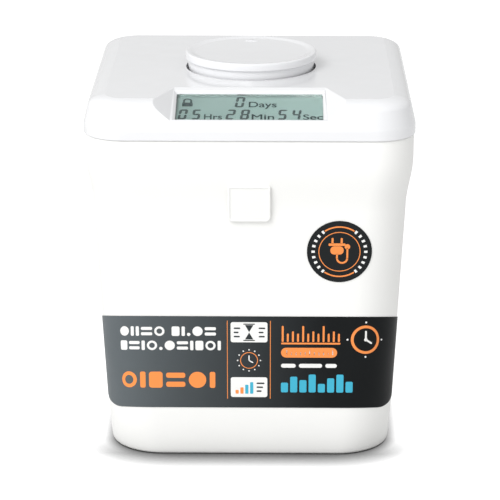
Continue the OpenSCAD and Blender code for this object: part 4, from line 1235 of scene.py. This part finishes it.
class BuildDial(bpy.types.Operator):
    """Turn the dial's cap and collar"""

    bl_idname = "lock_box.build_dial"
    bl_label = "Dial"

    def execute(self, context):
        sizes = context.scene.lock_box_lid
        cap_r, collar_r = mm(sizes.dial_r), mm(sizes.collar_r)
        top = mm(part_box("dial_cap")[1].z)
        seam = mm(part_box("dial_cap")[0].z)
        edge, dish, rim_w = 0.9, 0.7, 3.2
        profile = [(0, seam), (cap_r - 0.75, seam), (cap_r - 0.3, seam + 0.06),
                   (cap_r - 0.07, seam + 0.25), (cap_r, seam + 0.6)]
        profile += [(cap_r - edge + edge * c, top - edge + edge * n) for c, n in quarter(8)]
        inner = cap_r - edge - 0.3
        profile += [(inner - k / 8 * rim_w * 1.3, top - dish * smooth(k / 8)) for k in range(9)]
        profile.append((0, top - dish))
        bm = bmesh.new()
        turned(bm, profile)
        mark = bmesh.new()
        points = [mark.verts.new(p) for p in ((-3, 22, 0), (3, 22, 0), (0, 26, 0))]
        face = mark.faces.new(points)
        thicken(mark, [face], top - dish - 0.3, top - dish + 0.35)
        outward(mark)
        ridge = [e for e in mark.edges if all(v.co.z > top - dish for v in e.verts)]
        bmesh.ops.bevel(
            mark, geom=ridge, offset=0.15, offset_type="OFFSET", segments=2, profile=0.5,
            affect="EDGES", material=-1,
        )
        lid = ["lid plastic"]
        finish_piece("dial_top", bm, "dial", lid, ["dial_cap"], sharp=50.0)
        finish_piece("dial_mark", mark, "dial", lid, (), sharp=25.0)

        low = mm(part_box("dial_collar")[0].z)
        wall = 1.6
        hub = mm(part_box("encoder_body")[1].z) + 1.2
        collar = bmesh.new()
        turned(collar, [
            (0, seam - 0.02), (collar_r - 0.25, seam - 0.02), (collar_r, seam - 0.3),
            (collar_r, low + 0.4), (collar_r - 0.3, low), (collar_r - wall + 0.2, low),
            (collar_r - wall, low + 0.3), (collar_r - wall, seam - 1.7),
            (collar_r - wall - 0.4, seam - 1.5), (5.9, seam - 1.5), (5.5, seam - 1.9),
            (5.5, hub), (3.05, hub), (3.05, seam - 0.5), (0, seam - 0.5),
        ])
        finish_piece("dial_skirt", collar, "dial", lid, ["dial_collar"], sharp=40.0)
        return {"FINISHED"}


class BuildBoardParts(bpy.types.Operator):
    """Stand the small electronic parts on the circuit board"""

    bl_idname = "lock_box.build_board_parts"
    bl_label = "Board parts"

    def execute(self, context):
        deck = mm(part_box("circuit_board")[1].z)
        front = mm(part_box("circuit_board")[0].y)
        black, metal_ink, pale = range(3)
        bm = bmesh.new()

        def paint(made, ink):
            for f in {f for v in made for f in v.link_faces}:
                f.material_index = ink

        def put(x, y, w, d, h, ink, rise=0.0):
            z = deck + rise
            paint(block(bm, (x - w / 2, y - d / 2, z), (x + w / 2, y + d / 2, z + h)), ink)

        def can(x, y, r, h, ink, rise=0.0):
            paint(rod(bm, r, deck + rise, deck + rise + h, (x, y), 36), ink)

        # Controller with pins on four sides, and a driver with pins on two
        put(20, -9, 10, 10, 1.3, black, 0.15)
        for k in range(12):
            for out in (-5.5, 5.5):
                put(14.5 + k, -9 + out, 0.4, 1.1, 0.25, metal_ink)
                put(20 + out, -14.5 + k, 1.1, 0.4, 0.25, metal_ink)
        put(-15, -2, 4.0, 5.0, 1.4, black, 0.15)
        for k in range(4):
            for out in (-2.5, 2.5):
                put(-15 + out, -3.9 + 1.27 * k, 1.1, 0.45, 0.3, metal_ink)
        # Crystal, storage capacitors with black foot plates, choke and buzzer
        put(20, 4, 10.2, 3.6, 2.8, metal_ink)
        for x, y, r in ((31, 20, 3.1), (22, 21, 2.5)):
            put(x, y, 2 * r + 0.4, 2 * r + 0.4, 0.7, black)
            can(x, y, r, 5.0, metal_ink, 0.5)
        put(33, 5, 5.0, 5.0, 2.4, black)
        can(-30, 8, 4.7, 2.6, black)
        can(-30, 8, 0.9, 0.1, metal_ink, 2.55)
        # Socket that takes the display's ribbon
        put(0, front + 11.6, 27, 3.4, 1.9, pale, 0.1)
        put(0, front + 13.5, 26, 0.5, 0.9, black, 0.1)
        # Small resistors and capacitors in rows
        for k in range(7):
            put(29.5 + (k % 2) * 4.5, -22 + 3.1 * (k // 2) * 1.2, 2.0, 1.2, 0.5, (black, pale)[k % 2])
            put(-8.5 + 3.2 * k, 18, 1.2, 2.0, 0.55, (pale, black, black)[k % 3])
            if k < 5:
                put(6 + 3.0 * k, -22, 1.2, 2.0, 0.5, (black, pale, black)[k % 3])
        for x, y in ((0, 27), (8, 27)):
            put(x, y, 2.8, 1.3, 0.9, black)
            for out in (-1.5, 1.5):
                put(x + out, y, 0.5, 1.35, 0.5, metal_ink)
        finishes = ["moulded black", "plated steel", "works plastic"]
        finish_piece("board_parts", bm, "lid", finishes, (), bevel=0.08, bevel_steps=1)
        return {"FINISHED"}


# ---- Operators: finishes ---------------------------------------------------------------------


class MixFinishes(bpy.types.Operator):
    """Make every material of the container"""

    bl_idname = "lock_box.mix_finishes"
    bl_label = "Materials"

    def execute(self, context):
        c = context.scene.lock_box_colours
        moulded_plastic("tub plastic", c.tub, 0.42, grain=0.00002, mottle=0.012)
        moulded_plastic("plug plastic", c.tub, 0.36, grain=0.00001, mottle=0.01)
        moulded_plastic("lid plastic", c.lid, 0.2, grain=0.000004, grain_scale=500.0, mottle=0.01,
                        coat=1.0)
        # The label film carries a painted sheen, much lighter towards its left end
        printed_film("label film", c.label, 0.42, sheen=0.08, lighter=14.0)
        printed_film("sticker film", shade(c.label, 1.6), 0.42, sheen=0.1)
        printed_film("white ink", c.paper, 0.45)
        printed_film("orange ink", c.orange, 0.45)
        printed_film("cyan ink", c.cyan, 0.45)
        clear_window("window clear")
        # The display's colour, with its painted shade at the left and painted shadow band at the top
        liquid_crystal("liquid crystal", c.crystal, shadow_low=-0.0530, shadow_high=-0.0512, rate=0.68)
        printed_film("segment dark", c.segment, 0.9, sheen=0.0)
        circuit_green("circuit green", (0.01, 0.16, 0.055), (0.02, 0.27, 0.1))
        moulded_plastic("film amber", (0.62, 0.30, 0.05), 0.3, mottle=0.1)
        moulded_plastic("moulded black", (0.016, 0.016, 0.018), 0.4, grain=0.00003)
        moulded_plastic("works plastic", (0.78, 0.78, 0.75), 0.45, grain=0.00003)
        moulded_plastic("acetal", (0.62, 0.65, 0.66), 0.33, grain=0.00001)
        metal("plated steel", (0.62, 0.63, 0.64), 0.3)
        metal("turned brass", (0.83, 0.6, 0.25), 0.28)
        moulded_plastic("red insulation", (0.5, 0.02, 0.015), 0.45, grain=0.00001)
        moulded_plastic("black insulation", (0.015, 0.015, 0.015), 0.45, grain=0.00001)
        cell_jacket("cell sleeve", (0.025, 0.028, 0.032), (0.55, 0.28, 0.08),
                    band_start=0.0085, band_end=0.0087)
        return {"FINISHED"}


WORKS = {
    "works plastic": ("lid_tray", "battery_door", "encoder_rotor"),
    "circuit green": ("circuit_board",),
    "film amber": ("display_ribbon",),
    "moulded black": ("encoder_body", "switch_plunger"),
    "plated steel": (
        "dial_shaft", "motor_can", "motor_bracket", "motor_shaft", "battery_springs",
        "battery_terminals", "battery_bridge", "case_screws",
    ),
    "turned brass": ("motor_gearbox", "motor_pinion"),
    "acetal": ("cam_wheel", "left_bolt", "right_bolt"),
    "red insulation": ("motor_leads",),
    "black insulation": ("battery_leads",),
    "cell sleeve": ("battery_1", "battery_2"),
}


class DressWorks(bpy.types.Operator):
    """Give the solid inner pieces their finishes"""

    bl_idname = "lock_box.dress_works"
    bl_label = "Inner works"

    def execute(self, context):
        for finish, names in WORKS.items():
            for name in names:
                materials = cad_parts[name].data.materials
                materials.clear()
                materials.append(bpy.data.materials[finish])
        return {"FINISHED"}


# ---- Panel and registration ------------------------------------------------------------------

STEPS = (
    MixFinishes, BuildStage, BuildTub, BuildLabel, BuildSticker, BuildPortPlug, BuildLidCover,
    BuildDisplay, BuildDial, BuildBoardParts, DressWorks,
)


class LockBoxPanel(bpy.types.Panel):
    """Lists the pieces and their sizes"""

    bl_idname = "VIEW3D_PT_lock_box"
    bl_label = "Timed Lock Container"
    bl_space_type = "VIEW_3D"
    bl_region_type = "UI"
    bl_category = "Lock Box"

    def draw(self, context):
        layout = self.layout
        for group in GROUPS:
            box = layout.box()
            sizes = getattr(context.scene, group)
            for key in sizes.bl_rna.properties.keys():
                if key not in {"rna_type", "name"}:
                    box.prop(sizes, key)
        for step in STEPS:
            layout.operator(step.bl_idname)


GROUPS = {"lock_box_tub": TubSizes, "lock_box_lid": LidSizes, "lock_box_colours": Colours}
CLASSES = (*GROUPS.values(), *STEPS, LockBoxPanel)


def register():
    for kind in CLASSES:
        bpy.utils.register_class(kind)
    for name, group in GROUPS.items():
        setattr(bpy.types.Scene, name, bpy.props.PointerProperty(type=group))


def unregister():
    for name in GROUPS:
        delattr(bpy.types.Scene, name)
    for kind in reversed(CLASSES):
        bpy.utils.unregister_class(kind)


def main():
    register()
    for old in ("Cube", "Light", "Camera"):
        if old in bpy.data.objects:
            bpy.data.objects.remove(bpy.data.objects[old])
    for step in STEPS:
        family, name = step.bl_idname.split(".")
        getattr(getattr(bpy.ops, family), name)()


if __name__ == "__main__":
    main()
